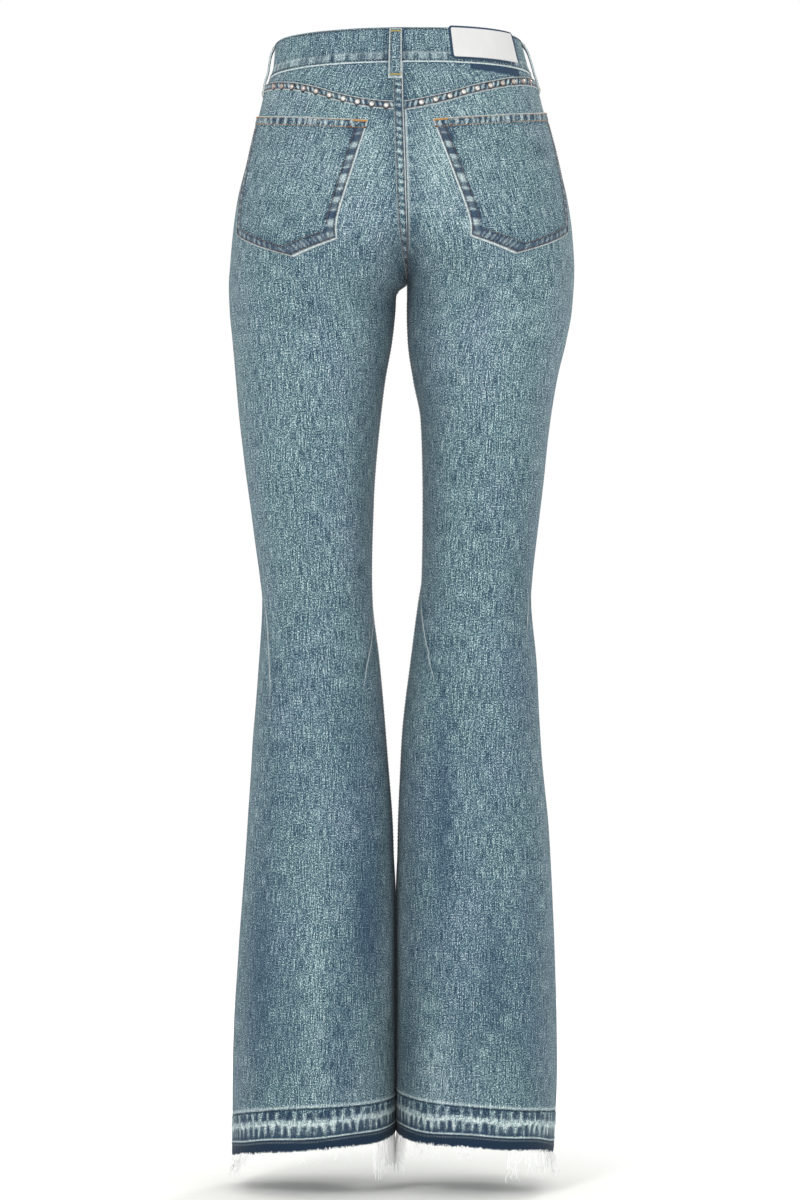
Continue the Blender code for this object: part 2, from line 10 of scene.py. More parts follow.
import bpy
import numpy as np
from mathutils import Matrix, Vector


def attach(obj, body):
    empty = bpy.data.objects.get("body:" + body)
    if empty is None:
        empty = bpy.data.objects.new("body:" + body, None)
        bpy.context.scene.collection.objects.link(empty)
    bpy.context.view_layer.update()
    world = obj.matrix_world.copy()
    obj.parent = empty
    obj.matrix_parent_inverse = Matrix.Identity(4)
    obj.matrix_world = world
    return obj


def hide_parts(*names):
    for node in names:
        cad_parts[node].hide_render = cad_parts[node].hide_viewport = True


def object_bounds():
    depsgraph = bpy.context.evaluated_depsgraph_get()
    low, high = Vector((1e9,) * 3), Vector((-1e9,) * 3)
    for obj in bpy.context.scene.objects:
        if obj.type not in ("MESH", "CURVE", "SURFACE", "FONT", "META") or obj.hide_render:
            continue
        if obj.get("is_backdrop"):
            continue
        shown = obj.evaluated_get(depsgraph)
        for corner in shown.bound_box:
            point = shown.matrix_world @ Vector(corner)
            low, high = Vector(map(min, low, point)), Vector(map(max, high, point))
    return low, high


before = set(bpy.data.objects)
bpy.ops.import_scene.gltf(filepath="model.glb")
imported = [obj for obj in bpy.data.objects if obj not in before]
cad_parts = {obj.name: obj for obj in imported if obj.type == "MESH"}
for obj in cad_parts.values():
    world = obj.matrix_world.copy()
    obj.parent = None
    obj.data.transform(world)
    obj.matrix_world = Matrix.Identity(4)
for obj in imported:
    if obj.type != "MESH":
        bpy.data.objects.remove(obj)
CAD_BOX = [list(corner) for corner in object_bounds()]

MM = 0.001
SIGN = {"left": 1, "right": -1, "back": 1, "front": -1}

# ---------------------------------------------------------------- form, as in the solids

SEAM_GAP = 0.3              # between pieces that meet edge to edge
WALL = 1.5                  # panels, yokes, pockets and facings
# Form of the worn garment, one row for each height.  left and right are the outlines seen from
# behind, in X; the inner columns are the centre seam down to the crotch and the inner leg
# outlines below it; back and front are the outlines seen from the side, in Y.
FORM_COLUMNS = ("z", "left", "left_inner", "right_inner", "right", "back", "front")
FORM = np.array((
    (40, 124.5, 0.0, 0.0, -111.0, 80, -78),
    (15, 126.5, 0.0, 0.0, -118.0, 86, -82),
    (-10, 129.0, 0.0, 0.0, -125.0, 93, -87),
    (-27, 136.5, -0.2, -0.2, -133.5, 98, -90),
    (-48, 141.5, -0.5, -0.5, -139.0, 105, -94),
    (-95, 153.5, -2.0, -2.0, -152.5, 118, -101),
    (-138, 164.0, -3.3, -3.3, -163.0, 125, -104),
    (-178, 169.5, -4.3, -4.3, -168.5, 125, -103),
    (-210, 172.0, -4.5, -4.5, -170.0, 118, -100),
    (-223, 173.0, -4.2, -4.2, -169.8, 114, -99),
    (-231, 173.0, 6.5, -4.2, -169.3, 112, -98),
    (-250, 172.5, 8.0, -4.2, -168.0, 107, -97),
    (-278, 170.0, 11.0, -5.0, -163.0, 101, -96),
    (-318, 166.5, 18.0, -10.5, -153.5, 93, -93),
    (-358, 163.0, 23.0, -18.0, -147.0, 87, -90),
    (-438, 153.0, 29.5, -20.0, -138.0, 76, -83),
    (-518, 142.5, 31.5, -19.0, -129.0, 66, -77),
    (-538, 140.5, 31.0, -16.0, -128.0, 65, -76),
    (-598, 143.5, 24.0, -8.0, -133.0, 67, -76),
    (-678, 149.5, 17.0, 1.0, -137.0, 73, -79),
    (-778, 156.0, 10.0, 5.0, -146.0, 82, -84),
    (-878, 163.0, 8.2, 6.2, -150.5, 88, -87),
    (-998, 169.5, 8.2, 6.2, -153.5, 94, -91),
    (-1100, 170.0, 8.4, 6.4, -149.0, 97, -94),
), float)[::-1]
SECTION_POWER = 2.25        # 2 is an ellipse, more is squarer
CROTCH_Z = -223.0
CLOSING_TOP = {"back": -78.0, "front": -96.0}       # where the two legs start to part
STEEPEST = 2.0              # largest slope that a normal follows
LEVEL_STEP = 2.5
LEVELS = np.arange(-1140.0, 47.0, LEVEL_STEP)       # heights of the tables of the form
SECTION_STEPS = 240
ACROSS_STEPS = 200

# Soft folds of the panels: height and width are half sizes, lean is how far the fold climbs across
# the whole panel, depth is negative for a hollow
FOLD_COLUMNS = ("side", "face", "z", "across", "height", "width", "lean", "depth")
FOLDS = (
    ("left", "back", -256, 0.55, 26, 0.30, 20, -3.0),
    ("right", "back", -254, 0.52, 26, 0.30, 20, -3.0),
    ("left", "back", -585, 0.52, 34, 0.30, -8, -3.5),
    ("right", "back", -580, 0.50, 34, 0.30, -8, -3.5),
    ("left", "front", -520, 0.50, 46, 0.32, 0, 3.5),
    ("right", "front", -520, 0.50, 46, 0.32, 0, 3.5),
    ("left", "back", -930, 0.50, 150, 0.16, 0, 3.0),
    ("right", "back", -930, 0.36, 140, 0.14, 0, 3.0),
    ("left", "front", -900, 0.52, 160, 0.20, 0, 3.0),
    ("right", "front", -900, 0.48, 160, 0.20, 0, 3.0),
)
FOLD_FADE = 8.0             # folds die away over an eighth of the panel at each seam

# Finer creases: two ends, each as height and place across the panel, then half width and depth
CREASES = {
    ("left", "back"): (
        (-236, 0.62, -252, 0.78, 7, -1.6), (-244, 0.42, -262, 0.60, 9, -1.4),
        (-252, 0.70, -240, 0.90, 6, -1.2), (-268, 0.25, -282, 0.50, 10, 1.0),
        (-300, 0.70, -278, 0.94, 8, 0.9), (-232, 0.10, -262, 0.24, 10, -0.9),
        (-540, 0.06, -600, 0.14, 6, -1.4), (-556, 0.93, -616, 0.86, 6, -1.4),
        (-568, 0.20, -580, 0.52, 7, 1.1), (-590, 0.30, -586, 0.72, 6, -1.2),
        (-604, 0.44, -612, 0.80, 6, 0.9), (-622, 0.22, -616, 0.60, 7, -0.9),
        (-546, 0.50, -538, 0.82, 8, -0.9), (-640, 0.36, -648, 0.66, 8, 0.6),
        (-700, 0.30, -860, 0.26, 13, -1.0), (-760, 0.72, -930, 0.70, 12, -1.0),
        (-860, 0.48, -1030, 0.46, 11, 0.9), (-930, 0.20, -1040, 0.17, 11, -1.1),
        (-60, 0.30, -72, 0.62, 8, 0.5), (-214, 0.90, -190, 0.96, 5, -0.7),
    ),
    ("right", "back"): (
        (-246, 0.86, -256, 0.68, 7, -1.5), (-240, 0.50, -258, 0.66, 9, -1.4),
        (-262, 0.36, -278, 0.56, 9, 1.0), (-292, 0.94, -276, 0.76, 8, 0.9),
        (-236, 0.08, -258, 0.22, 10, -0.9), (-532, 0.95, -606, 0.87, 6, -1.5),
        (-519, 0.04, -560, 0.09, 6, -1.2), (-560, 0.30, -572, 0.62, 7, 1.1),
        (-578, 0.52, -588, 0.90, 6, -1.3), (-594, 0.30, -600, 0.66, 6, 0.9),
        (-610, 0.55, -604, 0.88, 6, -0.9), (-626, 0.22, -632, 0.52, 8, -0.7),
        (-540, 0.60, -548, 0.84, 7, -0.8), (-690, 0.62, -850, 0.64, 13, -1.0),
        (-730, 0.30, -900, 0.27, 12, -0.9), (-850, 0.50, -1030, 0.52, 12, 0.9),
        (-930, 0.80, -1040, 0.82, 11, -1.1), (-62, 0.36, -70, 0.66, 8, 0.5),
        (-212, 0.88, -192, 0.95, 5, -0.7), (-880, 0.16, -1030, 0.15, 12, -0.8),
    ),
    ("left", "front"): (
        (-196, 0.96, -168, 0.66, 7, -1.5), (-212, 0.92, -204, 0.56, 8, -1.3),
        (-232, 0.90, -246, 0.58, 8, -1.2), (-150, 0.90, -132, 0.70, 7, -0.8),
        (-262, 0.88, -292, 0.66, 9, 0.9), (-500, 0.20, -488, 0.56, 8, -1.0),
        (-560, 0.24, -572, 0.70, 8, -1.2), (-590, 0.60, -578, 0.90, 7, 0.8),
        (-545, 0.90, -610, 0.86, 6, -1.2), (-540, 0.08, -600, 0.12, 6, -1.2),
        (-720, 0.34, -900, 0.30, 13, -1.0), (-780, 0.70, -960, 0.72, 12, -1.0),
        (-900, 0.50, -1040, 0.52, 11, 0.8),
    ),
    ("right", "front"): (
        (-194, 0.95, -172, 0.68, 7, -1.4), (-214, 0.93, -200, 0.60, 8, -1.3),
        (-234, 0.88, -252, 0.60, 8, -1.2), (-146, 0.92, -136, 0.72, 7, -0.7),
        (-266, 0.86, -286, 0.64, 9, 0.9), (-494, 0.26, -506, 0.60, 8, -1.0),
        (-566, 0.30, -556, 0.72, 8, -1.2), (-598, 0.56, -590, 0.86, 7, 0.8),
        (-540, 0.92, -612, 0.87, 6, -1.2), (-530, 0.08, -590, 0.10, 6, -1.2),
        (-700, 0.66, -880, 0.70, 13, -1.0), (-800, 0.30, -980, 0.28, 12, -1.0),
        (-880, 0.48, -1040, 0.46, 11, 0.8),
    ),
}
# Drag lines at the sides of the knees, on the back: side, how much lighter the line is, how dark its
# shaded side, and its places from the top, as height and place across
KNEE_LINES = (
    ("left", 0.75, 0.12, ((-530, 0.100), (-558, 0.182), (-583, 0.208), (-607, 0.228), (-650, 0.255))),
    ("left", 0.60, 0.16, ((-530, 0.985), (-563, 0.927), (-588, 0.823), (-607, 0.763), (-636, 0.715))),
    ("right", 0.60, 0.16, ((-528, 0.915), (-545, 0.865), (-568, 0.802), (-605, 0.723), (-628, 0.670))),
    ("right", 0.60, 0.10, ((-522, 0.125), (-534, 0.143), (-548, 0.155), (-563, 0.177), (-588, 0.205))),
)
KNEE_LINE_WIDTH = 2.4       # half width
# Slow waves all over the panels: wavelength across, wavelength down, turn, height
WAVES = ((61, 230, 0.4, 0.35), (97, 141, 2.1, 0.30), (43, 90, 4.0, 0.16), (150, 67, 1.2, 0.18))


def slopes(x, y):
    """Slopes at the points of a monotone curve."""
    steps = np.diff(x)
    rises = np.diff(y) / steps
    inner = np.zeros(len(x) - 2)
    for i in range(len(inner)):
        before, after = rises[i], rises[i + 1]
        if before * after > 0:
            weight = (2 * steps[i + 1] + steps[i], steps[i + 1] + 2 * steps[i])
            inner[i] = sum(weight) / (weight[0] / before + weight[1] / after)
    return np.concatenate(([rises[0]], inner, [rises[-1]]))


def smooth_curve(x, y, at):
    """Monotone cubic through the points (x rising), read at any array of places."""
    x, y = np.asarray(x, float), np.asarray(y, float)
    at = np.clip(at, x[0], x[-1])
    i = np.clip(np.searchsorted(x, at) - 1, 0, len(x) - 2)
    step = x[i + 1] - x[i]
    t = (at - x[i]) / step
    m = slopes(x, y)
    return ((1 + 2 * t) * (1 - t) ** 2 * y[i] + t * (1 - t) ** 2 * step * m[i]
            + t * t * (3 - 2 * t) * y[i + 1] + t * t * (t - 1) * step * m[i + 1])


def form(name, z):
    """An outline's place at a height."""
    return smooth_curve(FORM[:, 0], FORM[:, FORM_COLUMNS.index(name)], z)


def ease(value, start, end):
    """0 up to start, easing to 1 at end."""
    t = np.clip((np.asarray(value, float) - start) / (end - start), 0.0, 1.0)
    return t * t * (3 - 2 * t)


def falling(value, start, end):
    """1 up to start, easing to 0 at end."""
    return 1 - ease(value, start, end)


def band_mask(distance, low, high):
    """1 between two distances, with soft ends."""
    return ease(distance, low - 0.8, low + 0.6) * falling(distance, high - 0.6, high + 0.8)


def peak(value, middle, reach):
    """A smooth hill of height 1 about a middle."""
    return np.exp(-((value - middle) / reach) ** 2)


def unit(value):
    """Kept between 0 and 1."""
    return np.clip(value, 0, 1)


def rounding(distance, radius):
    """How far a rounded edge has dropped: 1 at the edge, 0 from the radius on."""
    return 1 - np.sqrt(unit(distance / radius))


def running(steps):
    """Distance from the start of a line to each of its points."""
    return np.concatenate(([0.0], np.cumsum(steps)))


def half_section(side, face, z):
    """Points at even distances along half a level section, and its length."""
    outer = SIGN[side] * form(side, z)
    inner = SIGN[side] * form(side + "_inner", z) + SEAM_GAP / 2
    half_depth = (form("back", z) - form("front", z)) / 2
    middle_y = (form("back", z) + form("front", z)) / 2
    power = SECTION_POWER
    parted = ease(-z, -CLOSING_TOP[face], -CROTCH_Z) ** 2
    middle_x = (inner + parted * outer) / (1.0 + parted)
    half_width = outer - middle_x
    reach = min(max((middle_x - inner) / half_width, 0.0), 1.0)
    end = math.atan2(half_depth * (1.0 - reach ** power) ** (1.0 / power), inner - middle_x)
    angles = np.linspace(0.0, end, SECTION_STEPS)
    radius = (np.abs(np.cos(angles) / half_width) ** power
              + np.abs(np.sin(angles) / half_depth) ** power) ** (-1.0 / power)
    x = SIGN[side] * (middle_x + radius * np.cos(angles))
    y = middle_y + SIGN[face] * radius * np.sin(angles)
    distance = running(np.hypot(np.diff(x), np.diff(y)))
    even = np.linspace(0.0, distance[-1], ACROSS_STEPS + 1)
    return np.interp(even, distance, x), np.interp(even, distance, y), distance[-1]


def build_form():
    """Tables of points, normals and girths for each side and face."""
    grids = {}
    for side in ("left", "right"):
        for face in ("back", "front"):
            rows = [half_section(side, face, float(z)) for z in LEVELS]
            flat = np.array([[x, y] for x, y, _ in rows]).transpose(0, 2, 1)
            around = np.gradient(flat, axis=1)
            around /= np.linalg.norm(around, axis=2)[..., None]
            climb = np.gradient(flat, axis=0) / LEVEL_STEP
            upright = around[..., 0] * climb[..., 1] - around[..., 1] * climb[..., 0]
            upright = np.clip(upright, -STEEPEST, STEEPEST)
            normal = np.stack([around[..., 1], -around[..., 0], upright], axis=2)
            normal *= SIGN[side] * SIGN[face]
            normal /= np.linalg.norm(normal, axis=2)[..., None]
            lengths = np.array([length for _, _, length in rows])
            grids[(side, face)] = (flat, normal, lengths)
    return grids


FORM_GRIDS = build_form()


def read_grid(grid, across, z):
    """Bilinear reading of a table over height and place across."""
    a = unit(across) * ACROSS_STEPS
    b = np.clip((z - LEVELS[0]) / LEVEL_STEP, 0.0, len(LEVELS) - 1.001)
    i, j = np.floor(b).astype(int), np.minimum(np.floor(a).astype(int), ACROSS_STEPS - 1)
    s, t = (b - i)[..., None], (a - j)[..., None]
    return (grid[i, j] * (1 - s) * (1 - t) + grid[i, j + 1] * (1 - s) * t
            + grid[i + 1, j] * s * (1 - t) + grid[i + 1, j + 1] * s * t)


def girth(side, face, z):
    """Length of a level line across a panel."""
    return np.interp(z, LEVELS, FORM_GRIDS[(side, face)][2])


def relief(side, face, across, z):
    """Height of the folds, creases and waves at places on a panel."""
    total = np.zeros(np.broadcast(across, z).shape)
    for row in FOLDS:
        fold = dict(zip(FOLD_COLUMNS, row))
        if (fold["side"], fold["face"]) == (side, face):
            offset = across - fold["across"]
            level = z - fold["z"] - fold["lean"] * offset
            total += fold["depth"] * np.exp(-(offset / fold["width"]) ** 2
                                            - (level / fold["height"]) ** 2)
    total *= np.minimum(1.0, FOLD_FADE * across * (1.0 - across))
    return total + creases(side, face, across, z)


def creases(side, face, across, z):
    """Height of the finer creases and slow waves alone."""
    total = np.zeros(np.broadcast(across, z).shape)
    width = girth(side, face, z)
    u = across * width
    for z0, a0, z1, a1, half_width, depth in CREASES[(side, face)]:
        start = np.array([a0 * girth(side, face, z0), z0])
        along = np.array([a1 * girth(side, face, z1), z1]) - start
        length = np.hypot(*along)
        along /= length
        part = (u - start[0]) * along[0] + (z - start[1]) * along[1]
        off = (u - start[0]) * along[1] - (z - start[1]) * along[0]
        bend = off - 0.05 * length * np.sin(math.pi * unit(part / length))
        taper = ease(part, -0.1 * length, 0.3 * length) * ease(-part, -1.1 * length, -0.7 * length)
        total += depth * taper * peak(bend, 0.0, half_width)
    edge = np.minimum(1.0, np.minimum(across, 1.0 - across) * 14)
    below_band = ease(-z, 40.0, 90.0)
    for across_wave, down_wave, turn, height in WAVES:
        total += (height * edge * below_band * np.sin(2 * math.pi * u / across_wave + turn)
                  * np.sin(2 * math.pi * z / down_wave + turn * 2 + u / 70))
    return total


def cloth(side, face, across, z, out=0.0):
    """Points on the garment's outside, moved out by some millimetres."""
    across, z, out = np.broadcast_arrays(across, np.asarray(z, float), out)
    points = np.concatenate([read_grid(FORM_GRIDS[(side, face)][0], across, z), z[..., None]], axis=-1)
    lift = out + relief(side, face, across, z)
    return points + normal_of(side, face, across, z) * lift[..., None]


def normal_of(side, face, across, z):
    """Directions out of the cloth."""
    normal = read_grid(FORM_GRIDS[(side, face)][1], across, z)
    return normal / np.linalg.norm(normal, axis=-1)[..., None]


def on_grid(place, size, columns, z, extra):
    """What place(side, face, across, z, extra) gives for a grid; size is how many values at a point."""
    values = np.empty(z.shape + (size,))
    extra = np.broadcast_to(extra, z.shape)
    across = np.array([spot[2] for spot in columns])
    for key in sorted({spot[:2] for spot in columns}):
        mask = np.array([spot[:2] == key for spot in columns])
        values[:, mask] = place(*key, np.broadcast_to(across[mask], z[:, mask].shape), z[:, mask],
                                extra[:, mask])
    return values


def lay(columns, z, out):
    """Points of a grid whose columns are (side, face, across) and whose rows are heights."""
    return on_grid(cloth, 3, columns, z, out)


# ---------------------------------------------------------------- seams, as in the solids

BAND_HEIGHT = 36.0
BAND_TILT = 0.065           # rise of the band for each millimetre towards the back
BAND_ROLL = -0.012          # and towards the wearer's left
BAND_WALL = 3.0
BAND_PROUD = 1.0            # the band's outside stands this far out of the panels
YOKE_LEVEL = -40.0          # where the distance along the yoke seam is measured
YOKE_SEAM = {
    "distance": (0, 20, 42, 66, 88, 112, 142, 200),
    "left": (-52.0, -50.8, -47.7, -41.7, -34.7, -29.0, -25.6, -23.5),
    "right": (-51.5, -47.4, -42.1, -34.5, -28.7, -23.6, -20.4, -19.4),
}
FELL_WIDTH = {"left": 9.0, "right": 10.0}
SCOOP_ACROSS = 0.43         # where a front pocket's opening meets the band
SCOOP_DEPTH = 78.0          # below the band at the side seam
SCOOP_POWER = 2.4
# Heights at the side seam, in the middle and at the inner leg seam, of the raw edge and of the
# groove where the hem was let down
HEM = {
    ("left", "back"): (-1093.5, -1075.5, -1069.5),
    ("left", "front"): (-1093.5, -1071.0, -1069.5),
    ("right", "back"): (-1088.5, -1074.0, -1068.5),
    ("right", "front"): (-1088.5, -1068.5, -1068.5),
}
GROOVE = {
    ("left", "back"): (-1053.5, -1035.5, -1032.5),
    ("left", "front"): (-1053.5, -1032.5, -1032.5),
    ("right", "back"): (-1048.5, -1035.0, -1026.5),
    ("right", "front"): (-1048.5, -1031.0, -1026.5),
}
GROOVE_LEVEL = 39.7         # the groove's place in the table of the let-down band's rows


def band_edge(side, face, across, height):
    """Height of a line on the waistband, some millimetres above its middle."""
    across, height = np.broadcast_arrays(across, np.asarray(height, float))
    z = height.astype(float)
    for _ in range(4):
        place = read_grid(FORM_GRIDS[(side, face)][0], across, z)
        z = BAND_TILT * place[..., 1] + BAND_ROLL * place[..., 0] + height
    return z


def yoke_seam(side, distance):
    """Height of the yoke seam at a distance from the centre back seam."""
    return smooth_curve(YOKE_SEAM["distance"], YOKE_SEAM[side], distance)


def yoke_edge(side, across):
    """The same at a place across the panel."""
    return yoke_seam(side, (1.0 - across) * girth(side, "back", YOKE_LEVEL))


def scoop_edge(side, across):
    """Height of a front panel's upper edge, which scoops down round the pocket's opening."""
    band = band_edge(side, "front", across, -BAND_HEIGHT / 2) - SEAM_GAP
    part = unit(across / SCOOP_ACROSS)
    return band - SCOOP_DEPTH * (1.0 - part ** SCOOP_POWER) ** (1.0 / SCOOP_POWER)


def foot_line(table, side, face, across):
    """Height of the raw edge or of the groove above it."""
    return smooth_curve((0.0, 0.5, 1.0), table[(side, face)], across)


# ---------------------------------------------------------------- wash of the cloth

# Zones of the wash, with painted light and shade among them (marked below): face, x, z, half width,
# half height, lighter, more navy
WASH_AND_SHADE_ZONES = (
    ("back", 75, -120, 60, 60, 0.05, 0.0), ("back", -70, -120, 60, 60, 0.05, 0.0),
    # painted shade: the dark patch under the point where the yokes meet
    ("back", 14, -58, 16, 9, -0.15, 0.4), ("back", -6, -54, 8, 9, -0.14, 0.4),
    ("back", 38, -95, 24, 24, 0.03, 0.0), ("back", -28, -105, 18, 60, 0.09, 0.0),
    # painted shade: the darker band under the seat
    ("back", 85, -205, 80, 26, -0.06, 0.1), ("back", -85, -205, 80, 26, -0.04, 0.1),
    ("back", 105, -262, 50, 30, -0.05, 0.0), ("back", 12, -130, 24, 70, -0.02, 0.0),
    ("back", 145, -330, 22, 130, -0.03, 0.0), ("back", -140, -330, 22, 130, -0.02, 0.0),
    ("back", 80, -350, 40, 120, -0.02, 0.0),
    # painted shade: the darker inner thighs below the crotch
    ("back", 20, -290, 16, 90, -0.05, 0.3), ("back", -14, -290, 15, 100, -0.06, 0.3),
    ("back", -8, -225, 20, 22, -0.05, 0.2), ("back", 40, -420, 12, 110, -0.04, 0.2),
    ("back", -30, -400, 12, 100, -0.04, 0.2), ("back", -70, -350, 40, 120, -0.02, 0.0),
    ("back", 80, -640, 40, 40, -0.02, 0.1),
    ("back", 128, -700, 12, 120, -0.04, 0.2), ("back", 86, -760, 12, 170, 0.03, 0.0),
    ("back", 25, -800, 22, 130, -0.08, 0.3), ("back", -12, -790, 20, 130, -0.05, 0.2),
    # painted light: narrow light strips down the inner calves, where the legs shade each other
    ("back", 14, -850, 7, 170, 0.10, -0.3), ("back", 2, -850, 7, 170, 0.10, -0.3),
    ("back", 85, -700, 70, 210, -0.048, 0.05), ("back", -75, -700, 70, 210, -0.056, 0.05),
    ("back", 90, -440, 70, 150, -0.03, 0.0), ("back", -85, -440, 70, 150, -0.03, 0.0),
    ("back", 48, -680, 16, 60, -0.05, 0.3), ("back", -118, -560, 16, 160, -0.06, 0.1),
    ("back", -39, -750, 9, 120, -0.12, 0.5), ("back", -80, -740, 24, 130, 0.02, 0.0),
    ("back", 141, -915, 14, 90, -0.17, 0.6), ("back", 36, -850, 12, 60, -0.14, 0.5),
    ("back", 85, -910, 9, 120, 0.06, -0.1), ("back", 110, -960, 12, 70, -0.06, 0.3),
    ("back", 60, -970, 12, 90, -0.08, 0.3), ("back", -88, -915, 14, 60, -0.13, 0.5),
    ("back", -37, -1000, 14, 40, 0.13, 0.0), ("back", -60, -960, 12, 60, -0.05, 0.2),
    ("back", -125, -940, 16, 90, -0.08, 0.3), ("back", 0, -960, 10, 90, -0.08, 0.3),
    ("back", 70, -1020, 60, 16, 0.03, 0.0), ("back", -70, -1020, 60, 18, 0.03, 0.0),
    ("front", 85, -330, 34, 150, 0.10, 0.0), ("front", -80, -330, 34, 150, 0.10, 0.0),
    ("front", 86, -530, 36, 60, 0.08, 0.0), ("front", -74, -530, 36, 60, 0.08, 0.0),
    ("front", 12, -260, 20, 110, -0.18, 0.5), ("front", -14, -260, 20, 110, -0.18, 0.5),
    ("front", 30, -130, 30, 40, -0.03, 0.1), ("front", 86, -800, 10, 200, 0.06, 0.0),
    ("front", -74, -800, 10, 200, 0.06, 0.0), ("front", 25, -830, 24, 150, -0.18, 0.5),
    ("front", -10, -830, 22, 150, -0.16, 0.5), ("front", 140, -900, 16, 110, -0.12, 0.4),
    ("front", -125, -920, 16, 100, -0.10, 0.4), ("front", 50, -980, 20, 60, -0.05, 0.2),
)
FADE_TOP, FADE_FOOT = 0.450, 0.404


def wash(points):
    """How light and how navy the cloth is at each point, from its wash and from the painted light and shade
    of some zones.
    """
    x, y, z = points[..., 0], points[..., 1], points[..., 2]
    fade_and_shade = FADE_TOP + (FADE_FOOT - FADE_TOP) * ease(-z, 150.0, 1000.0)
    navy = 0.08 + 0.18 * ease(-z, 500.0, 1050.0)
    to_back = ease(y, -30.0, 30.0)
    for face, zone_x, zone_z, half_width, half_height, lighter, more_navy in WASH_AND_SHADE_ZONES:
        there = to_back if face == "back" else 1.0 - to_back
        amount = there * np.exp(-((x - zone_x) / half_width) ** 2
                                - ((z - zone_z) / half_height) ** 2)
        fade_and_shade = fade_and_shade + lighter * amount
        navy = navy + more_navy * amount
    return fade_and_shade, unit(navy)


def noise_row(count, seed, smooth=0):
    """Even random numbers from -1 to 1, smoothed along the row."""
    values = np.random.default_rng(seed).uniform(-1.0, 1.0, count + 2 * smooth)
    if smooth:
        kernel = np.hanning(2 * smooth + 3)[1:-1]
        values = np.convolve(values, kernel / np.sqrt((kernel ** 2).sum()), "same")
        values = values[smooth:len(values) - smooth]
    return values


def blobs(s, pitch, seed, fill=0.62, jitter=0.22):
    """0 between and 1 inside a row of uneven marks along s."""
    rng = np.random.default_rng(seed)
    count = int(np.ceil((np.max(s) - np.min(s)) / pitch)) + 2
    centres = np.min(s) + (np.arange(count) + 0.5 + rng.uniform(-jitter, jitter, count)) * pitch
    widths = pitch * fill / 2 * (1 + rng.uniform(-0.35, 0.25, count))
    strength = rng.uniform(0.55, 1.0, count)
    result = np.zeros(np.shape(s))
    for centre, width, amount in zip(centres, widths, strength):
        result = np.maximum(result, amount * falling(np.abs(s - centre), width * 0.7, width * 1.25))
    return result


# ---------------------------------------------------------------- meshes

def make_mesh(name, vertices, faces, looks, uv, sharp, material):
    """A piece from points in millimetres; looks are named values at each point."""
    mesh = bpy.data.meshes.new(name)
    faces = np.asarray(faces)
    mesh.vertices.add(len(vertices))
    mesh.vertices.foreach_set("co", (np.asarray(vertices, float) * MM).ravel())
    mesh.loops.add(faces.size)
    mesh.loops.foreach_set("vertex_index", faces.ravel())
    mesh.polygons.add(len(faces))
    mesh.polygons.foreach_set("loop_start", np.arange(len(faces)) * faces.shape[1])
    mesh.polygons.foreach_set("loop_total", np.full(len(faces), faces.shape[1]))
    mesh.update(calc_edges=True)
    for key, values in looks.items():
        layer = mesh.attributes.new(key, "FLOAT", "POINT")
        layer.data.foreach_set("value", np.asarray(values, float).ravel())
    layer = mesh.uv_layers.new(name="cloth")
    layer.data.foreach_set("uv", np.asarray(uv, float)[faces.ravel()].ravel())
    mesh.shade_smooth()
    if sharp:
        mesh.set_sharp_from_angle(angle=math.radians(sharp))
    thing = bpy.data.objects.new(name, mesh)
    bpy.context.scene.collection.objects.link(thing)
    mesh.materials.append(material)
    return thing


def grid_faces(rows, columns, ring=False, start=0, flip=False):
    """Quads between the points of a grid, whose rows may close on themselves."""
    spans = columns if ring else columns - 1
    row, col = np.meshgrid(np.arange(rows - 1), np.arange(spans), indexing="ij")
    row, col = row.ravel(), col.ravel()
    after = (col + 1) % columns
    quads = np.stack([row * columns + col, row * columns + after,
                      (row + 1) * columns + after, (row + 1) * columns + col], axis=1) + start
    return quads[:, ::-1] if flip else quads


def looks_of(fade_and_shade, navy, worn):
    """How light (from the wash and from painted light and shade), how navy and how worn the cloth is, as
    named values.
    """
    return {"fade_and_shade": fade_and_shade, "navy": unit(navy), "worn": unit(worn)}


INSIDE_SHIFT = 0.37         # moves the pattern of a piece's inside away from that of its outside
SHELL_SHARP = 45            # degrees from which an edge of a shell is sharp


def make_shell(name, outer, inner, looks, uv, material, ring=False):
    """A closed thin piece between two grids of points."""
    rows, columns = outer.shape[:2]
    count = rows * columns
    row, column = rows // 2, columns // 2
    middle = outer[row, column]
    facing = np.cross(outer[row, column + 1] - middle, outer[row + 1, column] - middle)
    flip = np.dot(facing, middle - inner[row, column]) < 0
    parts = [grid_faces(rows, columns, ring, 0, flip), grid_faces(rows, columns, ring, count, not flip)]
    at = np.arange(count).reshape(rows, columns)
    if ring:
        edges = [(at[0], np.roll(at[0], -1), False), (at[-1], np.roll(at[-1], -1), True)]
    else:
        edges = [(line[:-1], line[1:], False) for line in (at[0], at[:, -1], at[-1][::-1], at[::-1, 0])]
    for first, second, turned in edges:
        quads = np.stack([second, first, first + count, second + count], axis=1)
        parts.append(quads[:, ::-1] if turned != flip else quads)
    looks = {key: np.tile(np.broadcast_to(value, (rows, columns)).ravel(), 2) for key, value in looks.items()}
    looks["inside"] = np.repeat((0.0, 1.0), count)
    points = np.concatenate([outer.reshape(-1, 3), inner.reshape(-1, 3)])
    uv = np.concatenate([uv.reshape(-1, 2), uv.reshape(-1, 2) + INSIDE_SHIFT])
    return make_mesh(name, points, np.concatenate(parts), looks, uv, SHELL_SHARP, material)


# ---------------------------------------------------------------- materials

